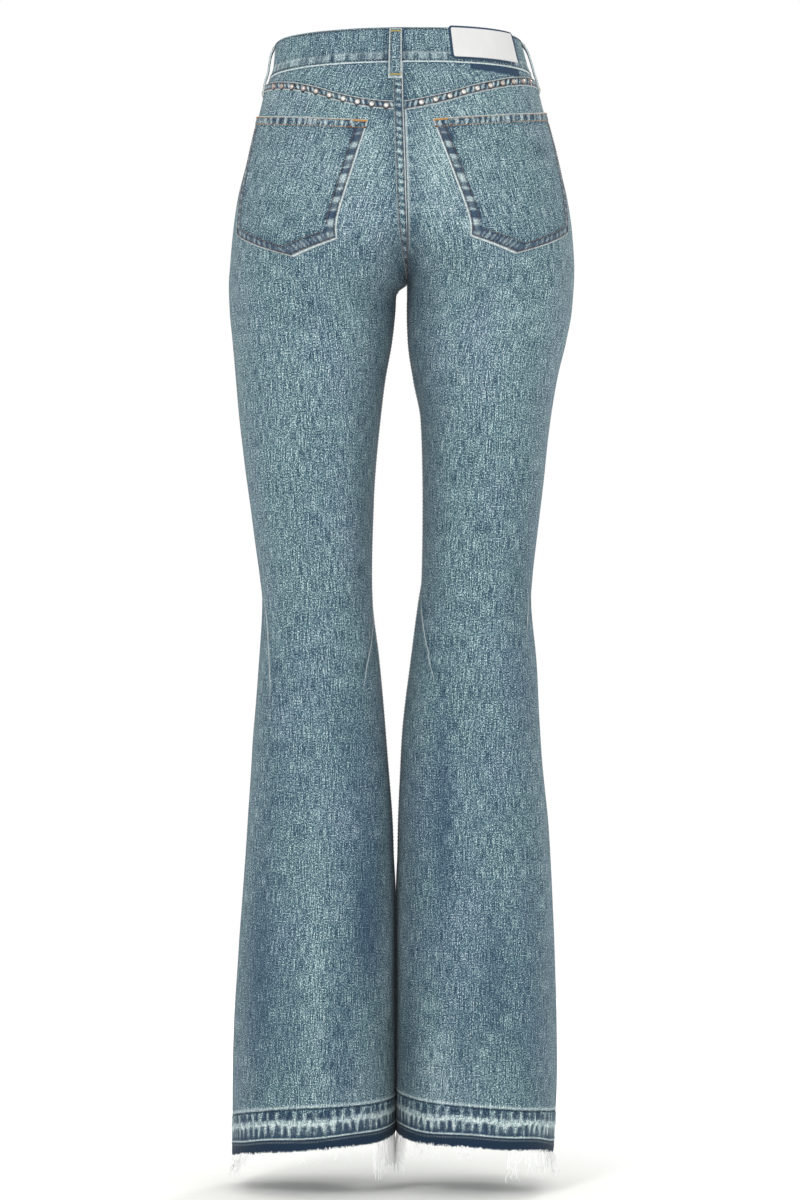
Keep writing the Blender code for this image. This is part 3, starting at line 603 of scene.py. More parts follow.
class Graph:
    """Short calls for building a material's nodes."""

    def __init__(self, name):
        self.material = bpy.data.materials.new(name)
        self.material.use_nodes = True
        self.nodes = self.material.node_tree.nodes
        self.links = self.material.node_tree.links
        self.nodes.clear()
        self.shader = self.nodes.new("ShaderNodeBsdfPrincipled")
        output = self.nodes.new("ShaderNodeOutputMaterial")
        self.links.new(self.shader.outputs["BSDF"], output.inputs["Surface"])

    def feed(self, socket, value):
        if hasattr(value, "is_linked"):
            self.links.new(value, socket)
        elif isinstance(value, tuple) and len(value) == 3 and socket.type == "RGBA":
            socket.default_value = (*value, 1.0)
        else:
            socket.default_value = value

    def attribute(self, name):
        node = self.nodes.new("ShaderNodeAttribute")
        node.attribute_name = name
        return node.outputs["Fac"]

    def uv(self):
        node = self.nodes.new("ShaderNodeUVMap")
        node.uv_map = "cloth"
        return node.outputs["UV"]

    def scaled(self, vector, scale, shift=(0, 0, 0)):
        node = self.nodes.new("ShaderNodeVectorMath")
        node.operation = "MULTIPLY_ADD"
        self.feed(node.inputs[0], vector)
        node.inputs[1].default_value = scale
        node.inputs[2].default_value = shift
        return node.outputs[0]

    def noise(self, vector, scale=1.0, detail=2.0, rough=0.5):
        node = self.nodes.new("ShaderNodeTexNoise")
        self.feed(node.inputs["Vector"], vector)
        node.inputs["Scale"].default_value = scale
        node.inputs["Detail"].default_value = detail
        node.inputs["Roughness"].default_value = rough
        return node.outputs["Fac"]

    def wave(self, vector, scale, distortion=0.0, direction="DIAGONAL"):
        node = self.nodes.new("ShaderNodeTexWave")
        node.wave_type = "BANDS"
        node.bands_direction = direction
        self.feed(node.inputs["Vector"], vector)
        node.inputs["Scale"].default_value = scale
        node.inputs["Distortion"].default_value = distortion
        return node.outputs["Fac"]

    def math(self, operation, a, b=0.0, c=0.0, clamp=False):
        node = self.nodes.new("ShaderNodeMath")
        node.operation = operation
        node.use_clamp = clamp
        for socket, value in zip(node.inputs, (a, b, c)):
            self.feed(socket, value)
        return node.outputs[0]

    def scale_add(self, value, factor, shift, clamp=False):
        return self.math("MULTIPLY_ADD", value, factor, shift, clamp)

    def swing(self, value, amount):
        """A noise's swing about zero."""
        return self.scale_add(value, amount, -amount / 2)

    def ramp(self, value, stops):
        node = self.nodes.new("ShaderNodeValToRGB")
        self.feed(node.inputs[0], value)
        ramp = node.color_ramp
        while len(ramp.elements) < len(stops):
            ramp.elements.new(0.5)
        for element, (place, colour) in zip(ramp.elements, stops):
            element.position = place
            element.color = (*colour, 1.0)
        return node.outputs["Color"]

    def mix(self, factor, a, b, blend="MIX"):
        node = self.nodes.new("ShaderNodeMix")
        node.data_type = "RGBA"
        node.blend_type = blend
        self.feed(node.inputs[0], factor)
        self.feed(node.inputs[6], a)
        self.feed(node.inputs[7], b)
        return node.outputs[2]

    def bump(self, height, strength, distance):
        node = self.nodes.new("ShaderNodeBump")
        node.inputs["Strength"].default_value = strength
        node.inputs["Distance"].default_value = distance
        self.feed(node.inputs["Height"], height)
        return node.outputs["Normal"]

    def set(self, **values):
        for key, value in values.items():
            self.feed(self.shader.inputs[key.replace("_", " ")], value)


# Layers of the denim's grain: cells to a metre, shift, detail, roughness, and swing of the tone
DENIM_LAYERS = {
    "grain": ((1040, 760, 1), (0, 0, 0), 1.0, 0.6, 2.60),
    "fleck": ((760, 380, 1), (4, 6, 0), 1.0, 0.5, 0.40),
    "slub": ((980, 62, 1), (3, 9, 0), 2.0, 0.55, 1.45),
    "streak": ((380, 13, 1), (7, 2, 0), 2.5, 0.5, 0.12),
    "mottle": ((62, 48, 1), (1, 5, 0), 3.0, 0.5, 0.03),
    "weft": ((55, 480, 1), (5, 1, 0), 1.0, 0.5, 0.12),
}
DENIM_TONES = (     # from unfaded indigo to bare cotton
    (0.0, (0.010, 0.024, 0.046)), (0.22, (0.030, 0.062, 0.094)), (0.42, (0.080, 0.139, 0.170)),
    (0.60, (0.176, 0.262, 0.290)), (0.78, (0.310, 0.410, 0.425)), (1.0, (0.600, 0.690, 0.690)),
)
GREEN_CAST, VIOLET_CAST = (0.972, 1.014, 0.975), (1.012, 0.986, 1.030)
UNFADED = (0.036, 0.066, 0.112)
BARE_COTTON = (0.62, 0.69, 0.68)
LINING_TONES = (0.22, 0.29, 0.36), (0.46, 0.53, 0.58)


def make_denim():
    """Washed twill whose light and navy places, painted light and shade among them, come from the values on
    each piece.
    """
    g = Graph("washed_denim")
    uv = g.uv()
    layers = {name: g.noise(g.scaled(uv, cells, shift), detail=detail, rough=rough)
              for name, (cells, shift, detail, rough, _) in DENIM_LAYERS.items()}
    grain = layers["grain"]
    level = g.attribute("fade_and_shade")
    for name, value in layers.items():
        level = g.math("ADD", level, g.swing(value, DENIM_LAYERS[name][-1]))
    colour = g.ramp(level, DENIM_TONES)
    tint = g.noise(g.scaled(uv, (17, 9, 1), (8, 3, 0)), detail=2.0)
    cast = g.mix(g.scale_add(tint, 2.4, -0.9, clamp=True), GREEN_CAST, VIOLET_CAST)
    colour = g.mix(1.0, colour, cast, "MULTIPLY")
    navy = g.math("MULTIPLY", g.attribute("navy"), g.scale_add(layers["streak"], 1.2, 0.1))
    colour = g.mix(g.math("MULTIPLY", navy, 0.68, clamp=True), colour, UNFADED)
    patchy = g.noise(g.scaled(uv, (420, 420, 1), (2, 8, 0)), detail=2.0)
    worn = g.math("MULTIPLY", g.attribute("worn"), g.scale_add(patchy, 1.5, 0.1), clamp=True)
    colour = g.mix(worn, colour, BARE_COTTON)
    lining = g.mix(g.scale_add(grain, 0.8, -0.1), *LINING_TONES)
    colour = g.mix(g.attribute("inside"), colour, lining)
    twill = g.wave(g.scaled(uv, (1, 1.6, 1)), 430, 0.6)
    height = g.math("ADD", g.math("MULTIPLY", twill, 0.5), g.math("MULTIPLY", grain, 1.2))
    height = g.math("ADD", height, g.math("MULTIPLY", layers["slub"], 0.8))
    g.set(Base_Color=colour, Roughness=g.scale_add(grain, 0.12, 0.80), Normal=g.bump(height, 0.45, 0.0004))
    g.set(Sheen_Weight=0.05, Sheen_Roughness=0.45, Specular_IOR_Level=0.12)
    return g.material


def make_thread(name, dark, light):
    """Twisted sewing thread, a little uneven in colour from stitch to stitch."""
    g = Graph(name)
    tone = g.noise(g.uv(), scale=900, detail=1.0)
    tone = g.math("ADD", g.swing(tone, 0.5), g.attribute("tone"))
    twist = g.wave(g.uv(), 1600, 0.3)
    g.set(Base_Color=g.ramp(tone, ((0.0, dark), (1.0, light))), Roughness=0.62,
          Normal=g.bump(twist, 0.5, 0.0002))
    g.set(Sheen_Weight=0.25, Sheen_Roughness=0.4)
    return g.material


def make_fringe_material():
    """Loose undyed cotton."""
    g = Graph("frayed_cotton")
    tone = g.noise(g.uv(), scale=300, detail=2.0)
    g.set(Base_Color=g.ramp(tone, ((0.25, (0.90, 0.90, 0.90)), (0.7, (0.97, 0.97, 0.96)))),
          Roughness=0.88, Normal=g.bump(g.wave(g.uv(), 900, 1.0), 0.2, 0.0001))
    g.set(Sheen_Weight=0.3, Sheen_Roughness=0.5)
    return g.material


def make_stud_material():
    """Pearly nickel dome, warmer towards its rim, with a painted shadow at its rim where it meets the cloth.
    """
    g = Graph("pearly_stud")
    cloudy = g.noise(g.uv(), scale=700, detail=3.0)
    colour = g.mix(g.attribute("warm"), (0.60, 0.60, 0.58), (0.20, 0.125, 0.095))
    colour = g.mix(g.scale_add(cloudy, 0.5, -0.1, clamp=True), colour, (0.50, 0.47, 0.45))
    # Painted shadow: dark where the rim meets the fell.
    colour = g.mix(g.attribute("rim"), colour, (0.030, 0.040, 0.046))
    g.set(Base_Color=colour, Metallic=0.78, Roughness=g.scale_add(cloudy, 0.25, 0.18),
          Normal=g.bump(cloudy, 0.15, 0.0003))
    g.set(Coat_Weight=0.5, Coat_Roughness=0.12)
    return g.material


def make_metal(name, colour, dark, roughness):
    """Metal that is darker where it is cloudy."""
    g = Graph(name)
    cloudy = g.noise(g.uv(), scale=420, detail=4.0)
    worn = g.scale_add(cloudy, 1.4, -0.3, clamp=True)
    g.set(Base_Color=g.mix(worn, dark, colour), Metallic=1.0, Roughness=g.scale_add(cloudy, 0.3, roughness),
          Normal=g.bump(cloudy, 0.2, 0.0003))
    return g.material


def make_patch_material():
    """Plain coated off-white patch with a faint pebble and slightly grey edges."""
    g = Graph("plain_patch")
    pebble = g.noise(g.uv(), scale=900, detail=2.0)
    broad = g.noise(g.scaled(g.uv(), (60, 20, 1)), detail=3.0)
    tone = g.math("ADD", g.swing(broad, 0.5), 0.5)
    colour = g.ramp(tone, ((0.2, (0.49, 0.49, 0.48)), (0.8, (0.59, 0.59, 0.58))))
    colour = g.mix(g.attribute("worn"), colour, (0.30, 0.32, 0.34))
    g.set(Base_Color=colour, Roughness=g.scale_add(broad, 0.2, 0.42),
          Normal=g.bump(pebble, 0.12, 0.0003))
    return g.material


def make_tape_material():
    """Dark woven tape."""
    g = Graph("zip_tape_weave")
    weave = g.wave(g.uv(), 500, 0.2, "X")
    grain = g.noise(g.uv(), scale=900)
    g.set(Base_Color=g.ramp(grain, ((0.2, (0.015, 0.022, 0.045)), (0.8, (0.05, 0.07, 0.12)))),
          Roughness=0.8, Normal=g.bump(weave, 0.4, 0.0003))
    return g.material


DENIM = make_denim()
RUST = make_thread("thread_rust", (0.034, 0.014, 0.009), (0.190, 0.075, 0.038))
GOLD = make_thread("thread_gold", (0.240, 0.100, 0.018), (0.640, 0.330, 0.085))
OLIVE = make_thread("thread_olive", (0.150, 0.110, 0.020), (0.520, 0.400, 0.120))
NAVY = make_thread("thread_navy", (0.006, 0.010, 0.020), (0.040, 0.055, 0.080))
PALE = make_thread("thread_pale", (0.260, 0.300, 0.310), (0.620, 0.660, 0.650))
COTTON = make_fringe_material()
STUD = make_stud_material()
BUTTON = make_metal("antique_button", (0.62, 0.44, 0.29), (0.14, 0.085, 0.05), 0.22)
PATCH = make_patch_material()
TAPE = make_tape_material()
ZIP_METAL = make_metal("zip_brass", (0.66, 0.52, 0.30), (0.20, 0.15, 0.08), 0.25)

GRAIN_TURN = -300.0         # below this the grain runs down the middle of each leg
GRAIN_SHIFT = {("left", "back"): 0, ("right", "back"): 1.3, ("left", "front"): 2.6, ("right", "front"): 3.9}
# How far the pattern of each kind of piece is moved away from that of the panels
PATTERN_SHIFT = {"fell": 0.11, "pocket": 0.23, "yoke": 0.5, "facing": 0.61, "backing": 0.7, "band": 7.1,
                 "label": 9.3, "loop": 11, "guard": 13, "zip": 15}


def cloth_uv(side, face, across, z, shift=0.0):
    """Place on the cloth in metres, level across and straight down."""
    across, z = np.broadcast_arrays(across, np.asarray(z, float))
    u = across * girth(side, face, z) - 0.5 * girth(side, face, np.minimum(z, GRAIN_TURN))
    offset = GRAIN_SHIFT[(side, face)] + shift
    return np.stack([u * MM + offset, z * MM + offset * 0.7], axis=-1)


def lay_uv(columns, z, shift=0.0):
    """The same for a grid whose columns are (side, face, across)."""
    return on_grid(cloth_uv, 2, columns, z, shift)


def finish_piece(thing, nodes=(), flat=None):
    """Ties a piece to the garment's body and hides the solids it replaces; flat, its cut, is not used."""
    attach(thing, "root")
    if nodes:
        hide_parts(*nodes)
    return thing


# ---------------------------------------------------------------- leg panels

EDGE_COLUMNS = (0.0, 0.6, 1.4, 2.4, 3.6, 5.2, 7.4)     # millimetres from a seam
COLUMN_STEP = {"back": 3.3, "front": 4.0}
ROW_STEP = {"back": 4.0, "front": 5.0}
PANEL_LEVEL = -600.0        # where a panel's columns are spaced
PANEL_TOP = {"back": -50.0, "front": -24.0}
PANEL_FOOT = -1037.0
PANEL_LAP = 4.5             # from the let-down hem's groove up to the panel's foot
TOUCHING = 0.4              # gap left between the two legs where they nearly touch
RIDGE_WEAR_AND_SHADE = 0.03           # how much lighter the cloth is on each millimetre of a crease's ridge, and darker in its hollow: partly crease wear, partly painted light and shade
SEAM_ROLL = 0.9             # how far a panel's edge sinks into its seam
SEAM_RIDGE = 0.5            # height of the allowance under a seam's edge
SEAM_ALLOWANCE = 11.0
PUCKER_PITCH = 8.0


def spread(length, near, step):
    """Places from 0 to 1 along a length, closer together near both ends."""
    near = np.array(near)
    middle = np.arange(near[-1] + step, length - near[-1] - step / 2, step)
    return np.concatenate([near, middle, (length - near)[::-1]]) / length


def seam_shape(distance, wide=True):
    """Height and wear of the cloth at a distance from a seam."""
    roll = -SEAM_ROLL * falling(distance, 0.0, 1.6)
    ridge = SEAM_RIDGE * ease(distance, 0.2, 1.8) * falling(distance, SEAM_ALLOWANCE - 3, SEAM_ALLOWANCE + 2)
    worn = ease(distance, 0.0, 0.9) * falling(distance, 1.6, 3.2)
    return roll + (ridge if wide else 0.0), worn


def leg_lean(inner_distance, z):
    """How far the inner sides swell towards each other low down, where the legs nearly touch."""
    gap = form("left_inner", z) - form("right_inner", z)
    closing = (gap - TOUCHING) / 2 * falling(gap, 2.4, 4.5) * ease(-z, 700.0, 800.0)
    return closing * peak(inner_distance, 0.0, 30.0)


def knee_path(places, z):
    """Place across of a drag line at each height."""
    heights, across = zip(*places[::-1])
    return smooth_curve(heights, across, z)


def drag_lines(side, face, across, z):
    """The light ridge of the knees' drag lines, the shade beside it and the cloth beyond it."""
    ridge, shaded, beyond = (np.zeros(np.broadcast(across, z).shape) for _ in range(3))
    width = girth(side, face, z)
    for key, lighter, shade, places in KNEE_LINES:
        if (key, "back") == (side, face):
            top, foot = places[0][0], places[-1][0]
            path = knee_path(places, z)
            outward = (across - path) * width * np.sign(path - 0.5)
            ends = ease(z, foot, foot + 30.0) * falling(z, top - 25.0, top)
            ridge = np.maximum(ridge, ends * lighter * peak(outward, 0.0, KNEE_LINE_WIDTH))
            shaded = shaded + ends * shade * peak(outward, -3.6, 3.0)
            beyond = beyond + ends * ease(outward, 0.0, 4.0) * falling(outward, 6.0, 20.0)
    return ridge, shaded, beyond


def make_leg_panel(side, face):
    """A panel from the yoke or the band down to the let-down hem."""
    mean_width = girth(side, face, PANEL_LEVEL)
    gap = SEAM_GAP / 2 / mean_width
    columns = np.clip(spread(float(mean_width), EDGE_COLUMNS, COLUMN_STEP[face]), gap, 1 - gap)
    mean_top = PANEL_TOP[face]
    steps = int(round((mean_top - PANEL_FOOT) / ROW_STEP[face]))
    part = np.linspace(0.0, 1.0, steps + 1)[:, None]
    across = np.broadcast_to(columns, (len(part), len(columns)))
    top = yoke_edge(side, across) - 1.0 if face == "back" else scoop_edge(side, across)
    foot = foot_line(GROOVE, side, face, across) + PANEL_LAP
    z = mean_top + (PANEL_FOOT - mean_top) * part
    z = z + (top - mean_top) * falling(-z, -mean_top, 130.0)
    z = z + (foot - PANEL_FOOT) * ease(-z, 940.0, -PANEL_FOOT)
    width = girth(side, face, z)
    from_side, from_inner = across * width, (1 - across) * width
    side_lift, side_worn = seam_shape(from_side, face == "back")
    inner_lift, inner_worn = seam_shape(from_inner, face == "front")
    lift = side_lift + inner_lift + leg_lean(from_inner, z)
    worn = np.maximum(side_worn * 0.5, inner_worn * 0.5)
    if face == "front":
        edge, opening = np.abs(z - top), across < SCOOP_ACROSS
        lift = lift + np.where(opening, 0.5 * falling(edge, 8.0, 11.0) - 0.7 * falling(edge, 0.0, 1.5), 0.0)
        worn = np.where(opening, np.maximum(worn, 0.8 * falling(edge, 1.0, 3.0)), worn)
    outer, inner = cloth(side, face, across, z, lift), cloth(side, face, across, z, lift - WALL)
    fade_and_shade, navy = wash(outer)
    seam = np.minimum(from_side, from_inner)
    # Painted shade: a dark navy line in the groove of each seam. The cloth is also darker and navier for some
    # way from the seams, partly unfaded indigo and partly painted shade.
    dark = falling(seam, 0.0, 0.8)
    puckers = blobs(z[:, 0], PUCKER_PITCH, 11 + SIGN[side] + 3 * SIGN[face])[:, None]
    puckered = falling(seam, 8.0, 15.0) * (0.07 - 0.20 * puckers)
    fade_and_shade = fade_and_shade + puckered - 0.30 * dark - 0.05 * falling(seam, 10.0, 34.0)
    # The creases' ridges are painted lighter and their hollows darker: partly crease wear, partly painted
    # light and shade.
    fade_and_shade = fade_and_shade + RIDGE_WEAR_AND_SHADE * np.clip(creases(side, face, across, z), -2.0, 2.0)
    ridge, shaded, beyond = drag_lines(side, face, across, z)
    fade_and_shade = fade_and_shade + 0.12 * ridge - shaded - 0.03 * beyond
    navy = navy + 0.12 * beyond
    navy = navy + 0.25 * falling(seam, 4.0, 26.0) + 0.3 * dark
    return make_shell(f"{face}_leg_{side}", outer, inner, looks_of(fade_and_shade, navy, worn),
                      cloth_uv(side, face, across, z), DENIM)


def make_knee_folds(side):
    """The sharp turned edge of the cloth along each drag line of the knee."""
    lines = []
    for key, lighter, _, places in KNEE_LINES:
        if key == side:
            z = np.arange(places[-1][0] + 6.0, places[0][0] - 2.0, 2.0)
            across = knee_path(places, z)
            taper = np.clip(np.minimum(z - z[0] + 1.0, z[-1] - z + 1.0) / 28.0, 0.12, 1.0)
            up = normal_of(side, "back", across, z)[len(z) // 2]
            lines.append((cloth(side, "back", across, z, 0.08), taper, 0.5 * lighter, up))
    finish_piece(tubes(f"knee_folds_{side}", lines, 0.46, PALE))


# ---------------------------------------------------------------- seams that stand proud

FELL_STITCH = 1.7           # from a fell's edge to its row of stitches
FELL_INSIDE = -0.6          # how deep a fell's inside lies in the cloth
YOKE_PUCKERS = (5.6, 0.25, 21)      # pitch, slant and seed
CENTRE_PUCKERS = (7.5, 0.15, 41)


def strip(name, place, length, width, profile, looks_at, step):
    """A raised band of cloth along a line.

    place(s, t) gives side, face, across, z for distances along and across the band."""
    s = np.linspace(0.0, length, max(int(length / step), 2) + 1)
    t = np.linspace(0.0, 1.0, 15) * width
    t_grid, s_grid = np.meshgrid(t, s, indexing="ij")
    side, face, across, z = place(s_grid, t_grid)
    outer = cloth(side, face, across, z, profile(s_grid, t_grid))
    inner = cloth(side, face, across, z, FELL_INSIDE)
    fade_and_shade, navy = wash(outer)
    extra_fade_and_shade, extra_navy, worn = looks_at(s_grid, t_grid)
    return make_shell(name, outer, inner, looks_of(fade_and_shade + extra_fade_and_shade, navy + extra_navy, worn),
                      cloth_uv(side, face, across, z, PATTERN_SHIFT["fell"]), DENIM)


def band_profile(t, width, height, roll=0.9):
    """A flat raised band with rounded edges, laid over the cloth."""
    from_edge = np.minimum(t, width - t)
    return -0.25 + (height + 0.25) * np.sqrt(unit(from_edge / roll))


def rope(s, t, pitch, slant, seed):
    """Slanted puckers along a sewn band, uneven from one to the next."""
    drift = np.interp(s, np.linspace(0, max(float(np.max(s)), 1.0), 60), noise_row(60, seed, 2)) * 0.25
    swell = np.interp(s, np.linspace(0, max(float(np.max(s)), 1.0), 90), noise_row(90, seed + 1, 1))
    return np.sin(2 * math.pi * ((s + slant * t) / pitch + drift)) * (0.75 + 0.25 * swell)


def make_yoke_fell(side):
    """The lapped seam between the yoke and the seat, with its two rows of stitches."""
    width = FELL_WIDTH[side]
    length = float(girth(side, "back", YOKE_LEVEL)) - 1.0

    def place(s, t):
        z = yoke_seam(side, s) + 0.3 - t
        return side, "back", 1.0 - (s + 0.5) / girth(side, "back", z), z

    def puckers(s, t):
        return peak(t, width / 2, width * 0.30), rope(s, t, *YOKE_PUCKERS)

    def profile(s, t):
        between, marks = puckers(s, t)
        grooves = peak(t, FELL_STITCH, 0.6) + peak(t, width - FELL_STITCH, 0.6)
        return band_profile(t, width, 1.15) - 0.40 * grooves + 0.42 * between * marks

    def looks_at(s, t):
        between, marks = puckers(s, t)
        # Pucker crests are lighter from wear; the dark lines along the grooves of the stitch rows are painted
        # shade.
        fade_and_shade = -0.13 + 0.42 * between * marks - 0.30 * peak(t, 1.9, 0.8) - 0.30 * peak(t, width - 1.9, 0.8)
        worn = 0.95 * falling(t, 0.6, 1.4) + 0.75 * ease(t, width - 1.3, width - 0.5)
        return fade_and_shade, 0.15, worn + 0.60 * between * unit(marks)

    thing = strip(f"yoke_fell_{side}", place, length, width, profile, looks_at, 1.1)
    for row, offset in enumerate((FELL_STITCH, width - FELL_STITCH)):
        s = np.arange(1.0, length, 0.5)
        sew(f"yoke_stitch_{side}_{row + 1}", *place(s, offset), 0.95, RUST, pitch=3.1, seed=31 + row,
            tone=0.42)
    return thing


CENTRE_FELL = 10.0          # width
CENTRE_ROWS = (1.8, 8.2)    # its rows of stitches
CENTRE_TOP = -11.5          # height where the centre fell starts, under the band
YOKE_CROSSING = 43.0        # distance down the centre fell to the yoke seam


def make_centre_fell():
    """The centre back seam's lap, from the band to the crotch."""
    length = -CROTCH_Z + CENTRE_TOP - 4.0

    def place(s, t):
        z = CENTRE_TOP - s
        return "left", "back", 1.0 - (t + 0.1) / girth("left", "back", z), z

    def puckers(s, t):
        return peak(t, CENTRE_FELL / 2, 2.8), rope(s, t, *CENTRE_PUCKERS)

    def profile(s, t):
        between, marks = puckers(s, t)
        grooves = peak(t, FELL_STITCH, 0.6) + peak(t, CENTRE_ROWS[1], 0.6)
        under_yoke = 0.5 * np.exp(-((s - YOKE_CROSSING) / 6) ** 4)
        return band_profile(t, CENTRE_FELL, 1.1) - 0.3 * grooves + 0.2 * between * marks + under_yoke

    def looks_at(s, t):
        between, marks = puckers(s, t)
        # Pucker crests are lighter from wear; the dark lines along the grooves of the stitch rows are painted
        # shade; darker towards its foot.
        fade_and_shade = -0.06 + 0.30 * between * marks - 0.26 * peak(t, 1.9, 0.7)
        fade_and_shade = fade_and_shade - 0.16 * peak(t, CENTRE_ROWS[1], 0.8) - 0.10 * ease(s, 150, 205)
        worn = 0.80 * falling(t, 0.6, 1.3) + 0.30 * ease(t, 8.9, 9.5)
        return fade_and_shade, 0.10, worn + 0.36 * between * unit(marks)

    thing = strip("centre_back_fell", place, length, CENTRE_FELL, profile, looks_at, 1.3)
    for row, offset in enumerate(CENTRE_ROWS):
        s = np.arange(2.0, length, 0.5)
        sew(f"centre_stitch_{row + 1}", *place(s, offset), 0.95, RUST, pitch=3.2, seed=51 + row, tone=0.30)
    return thing


BACKING_TOP = {"back": -19.0, "front": -132.0}
BACKING_REACH = (7.0, 5.0, 3.0, 1.5, 0.5)       # columns, from the centre seam


def make_seam_backing(face):
    """The seam allowances inside the centre seam, which close it from behind."""
    level = np.linspace(BACKING_TOP[face], CROTCH_Z + 3.0, 90)
    columns = []
    for side, order in (("left", BACKING_REACH), ("right", BACKING_REACH[::-1])):
        width = float(girth(side, face, (level[0] + level[-1]) / 2))
        columns += [(side, face, 1.0 - distance / width) for distance in order]
    z = np.broadcast_to(level[:, None], (len(level), len(columns)))
    outer, inner = lay(columns, z, -WALL + 0.1), lay(columns, z, -WALL - 0.7)
    thing = make_shell(f"centre_{face}_backing", outer, inner, looks_of(0.30, 0.5, 0.0),
                       lay_uv(columns, z, PATTERN_SHIFT["backing"]), DENIM)
    finish_piece(thing)


# ---------------------------------------------------------------- stitches

STITCH_SIDES = 6
# Rings of a stitch: place along it, radius, and height over the cloth, as parts of their full sizes
STITCH_RINGS = ((0.0, 0.35, -0.55), (0.22, 0.94, 0.07), (0.78, 0.94, 0.07), (1.0, 0.35, -0.55))
STITCH_RISE = 1.6           # full height of a stitch in radii of its thread
TACK_PITCH = 0.42
TACK_ARCH = np.array([-0.35, 0.2, 0.35, 0.2, -0.35])        # height of a tack's thread over the cloth
TACK_RADII = (0.6, 1.0, 1.0, 1.0, 0.6)


def run_of(points):
    """Distance along a line to each of its points."""
    return running(np.linalg.norm(np.diff(points, axis=0), axis=1))


def read_line(at, distance, table):
    """A line's points or normals, read at distances from its start."""
    return np.stack([np.interp(at, distance, table[:, i]) for i in range(3)], axis=-1)


def tubes(name, lines, radius, material, sides=STITCH_SIDES):
    """Many small closed tubes in one piece; a line is its points, their radii, its tone and its up."""
    vertices, quads, tones, uv = [], [], [], []
    angles = 2 * math.pi * np.arange(sides) / sides
    start = 0
    for k, (points, radii, tone, up) in enumerate(lines):
        along = np.gradient(points, axis=0)
        along /= np.linalg.norm(along, axis=1)[:, None] + 1e-12
        across = np.cross(along, up)
        lengths = np.linalg.norm(across, axis=1)[:, None]
        across = np.where(lengths > 1e-6, across / (lengths + 1e-12), np.array([1.0, 0.0, 0.0]))
        above = np.cross(across, along)
        ring = (np.cos(angles)[None, :, None] * across[:, None, :]
                + np.sin(angles)[None, :, None] * above[:, None, :])
        body = points[:, None, :] + ring * (np.asarray(radii) * radius)[:, None, None]
        vertices.append(body.reshape(-1, 3))
        count = len(points)
        quads.append(grid_faces(count, sides, True, start))
        for base, turned in ((start, True), (start + (count - 1) * sides, False)):
            cap = np.array([[base + i, base + i + 1, base + sides - 2 - i, base + sides - 1 - i]
                            for i in range(sides // 2 - 1)])
            quads.append(cap[:, ::-1] if turned else cap)
        tones.append(np.full(count * sides, tone))
        distance = np.broadcast_to(run_of(points)[:, None] + k * 3.7, (count, sides))
        around = np.broadcast_to(np.arange(sides) * 0.6, (count, sides))
        uv.append(np.stack([distance, around], axis=-1).reshape(-1, 2) * MM)
        start += count * sides
    return make_mesh(name, np.concatenate(vertices), np.concatenate(quads), {"tone": np.concatenate(tones)},
                     np.concatenate(uv), 0, material)


def sew_points(name, points, normals, material, pitch=3.2, fill=0.76, radius=0.42, seed=1, tone=0.5):
    """Separate stitches along dense points, each dipping into the cloth at its ends."""
    rng = np.random.default_rng(seed)
    distance = run_of(points)
    places, radii, lifts = np.array(STITCH_RINGS).T
    lines = []
    for k in range(int(distance[-1] / pitch)):
        start = (k + 0.5 * (1 - fill)) * pitch + rng.uniform(-0.12, 0.12)
        spots = start + places * pitch * fill
        normal = read_line(spots, distance, normals)
        line = read_line(spots, distance, points) + normal * (lifts * radius * STITCH_RISE)[:, None]
        lines.append((line, radii, tone + rng.uniform(-0.28, 0.28), normal[2]))
    finish_piece(tubes(name, lines, radius, material))


def sew(name, side, face, across, z, out, material, **style):
    """Stitches along a line of places on the cloth."""
    points = cloth(side, face, across, z, out)
    normals = normal_of(side, face, np.broadcast_to(across, np.shape(z)), z)
    sew_points(name, points, normals, material, **style)


def bar_tack(name, points, normals, material, tone, seed, width=2.2):
    """A dense zigzag of thread along a short line."""
    rng = np.random.default_rng(seed)
    distance = run_of(points)
    lines = []
    for k in range(int(distance[-1] / TACK_PITCH)):
        at = k * TACK_PITCH
        centre, normal = read_line(at, distance, points), read_line(at, distance, normals)
        ahead = read_line(at + 0.3, distance, points) - centre
        ahead /= np.linalg.norm(ahead) + 1e-9
        across = np.cross(normal, ahead)
        sway = np.linspace(-0.5, 0.5, 5) * width * (1 + rng.uniform(-0.08, 0.08))
        line = centre + across * sway[:, None] + normal * TACK_ARCH[:, None] + ahead * (sway * 0.12)[:, None]
        lines.append((line, TACK_RADII, tone + rng.uniform(-0.25, 0.25), normal))
    finish_piece(tubes(name, lines, 0.30, material))


# ---------------------------------------------------------------- waistband and yokes

LAP = 0.12                  # each end passes the centre front by this part of a quarter
LAP_RAMP = 0.30             # the under end sinks behind the other along this part
LAP_DROP = BAND_WALL + 2 * SEAM_GAP
QUARTER = 178.0             # length of a quarter of the band, for its pattern
BAND_PUCKERS = (10.5, 61, 0.5, 0.4)         # pitch, seed, fill and jitter
BAND_ROWS = (2.4, 1.9)      # rows of stitches, from the band's lower and upper edge
LABEL_START = 49.0          # from the centre back seam
LABEL_LENGTH = 74.0
LABEL_TOP = BAND_HEIGHT / 2 - 0.5
LABEL_HEIGHT = 30.0
LABEL_CORNER = 1.6          # radius of the patch's corners
LABEL_LAYERS = (    # name, how far it passes the patch, inside, outside, wear at the edges, material
    ("label_ground", 2.3, 1.05, 1.55, 0.0, DENIM),
    ("label_patch", 0.0, 1.7, 2.7, 0.5, PATCH),
)


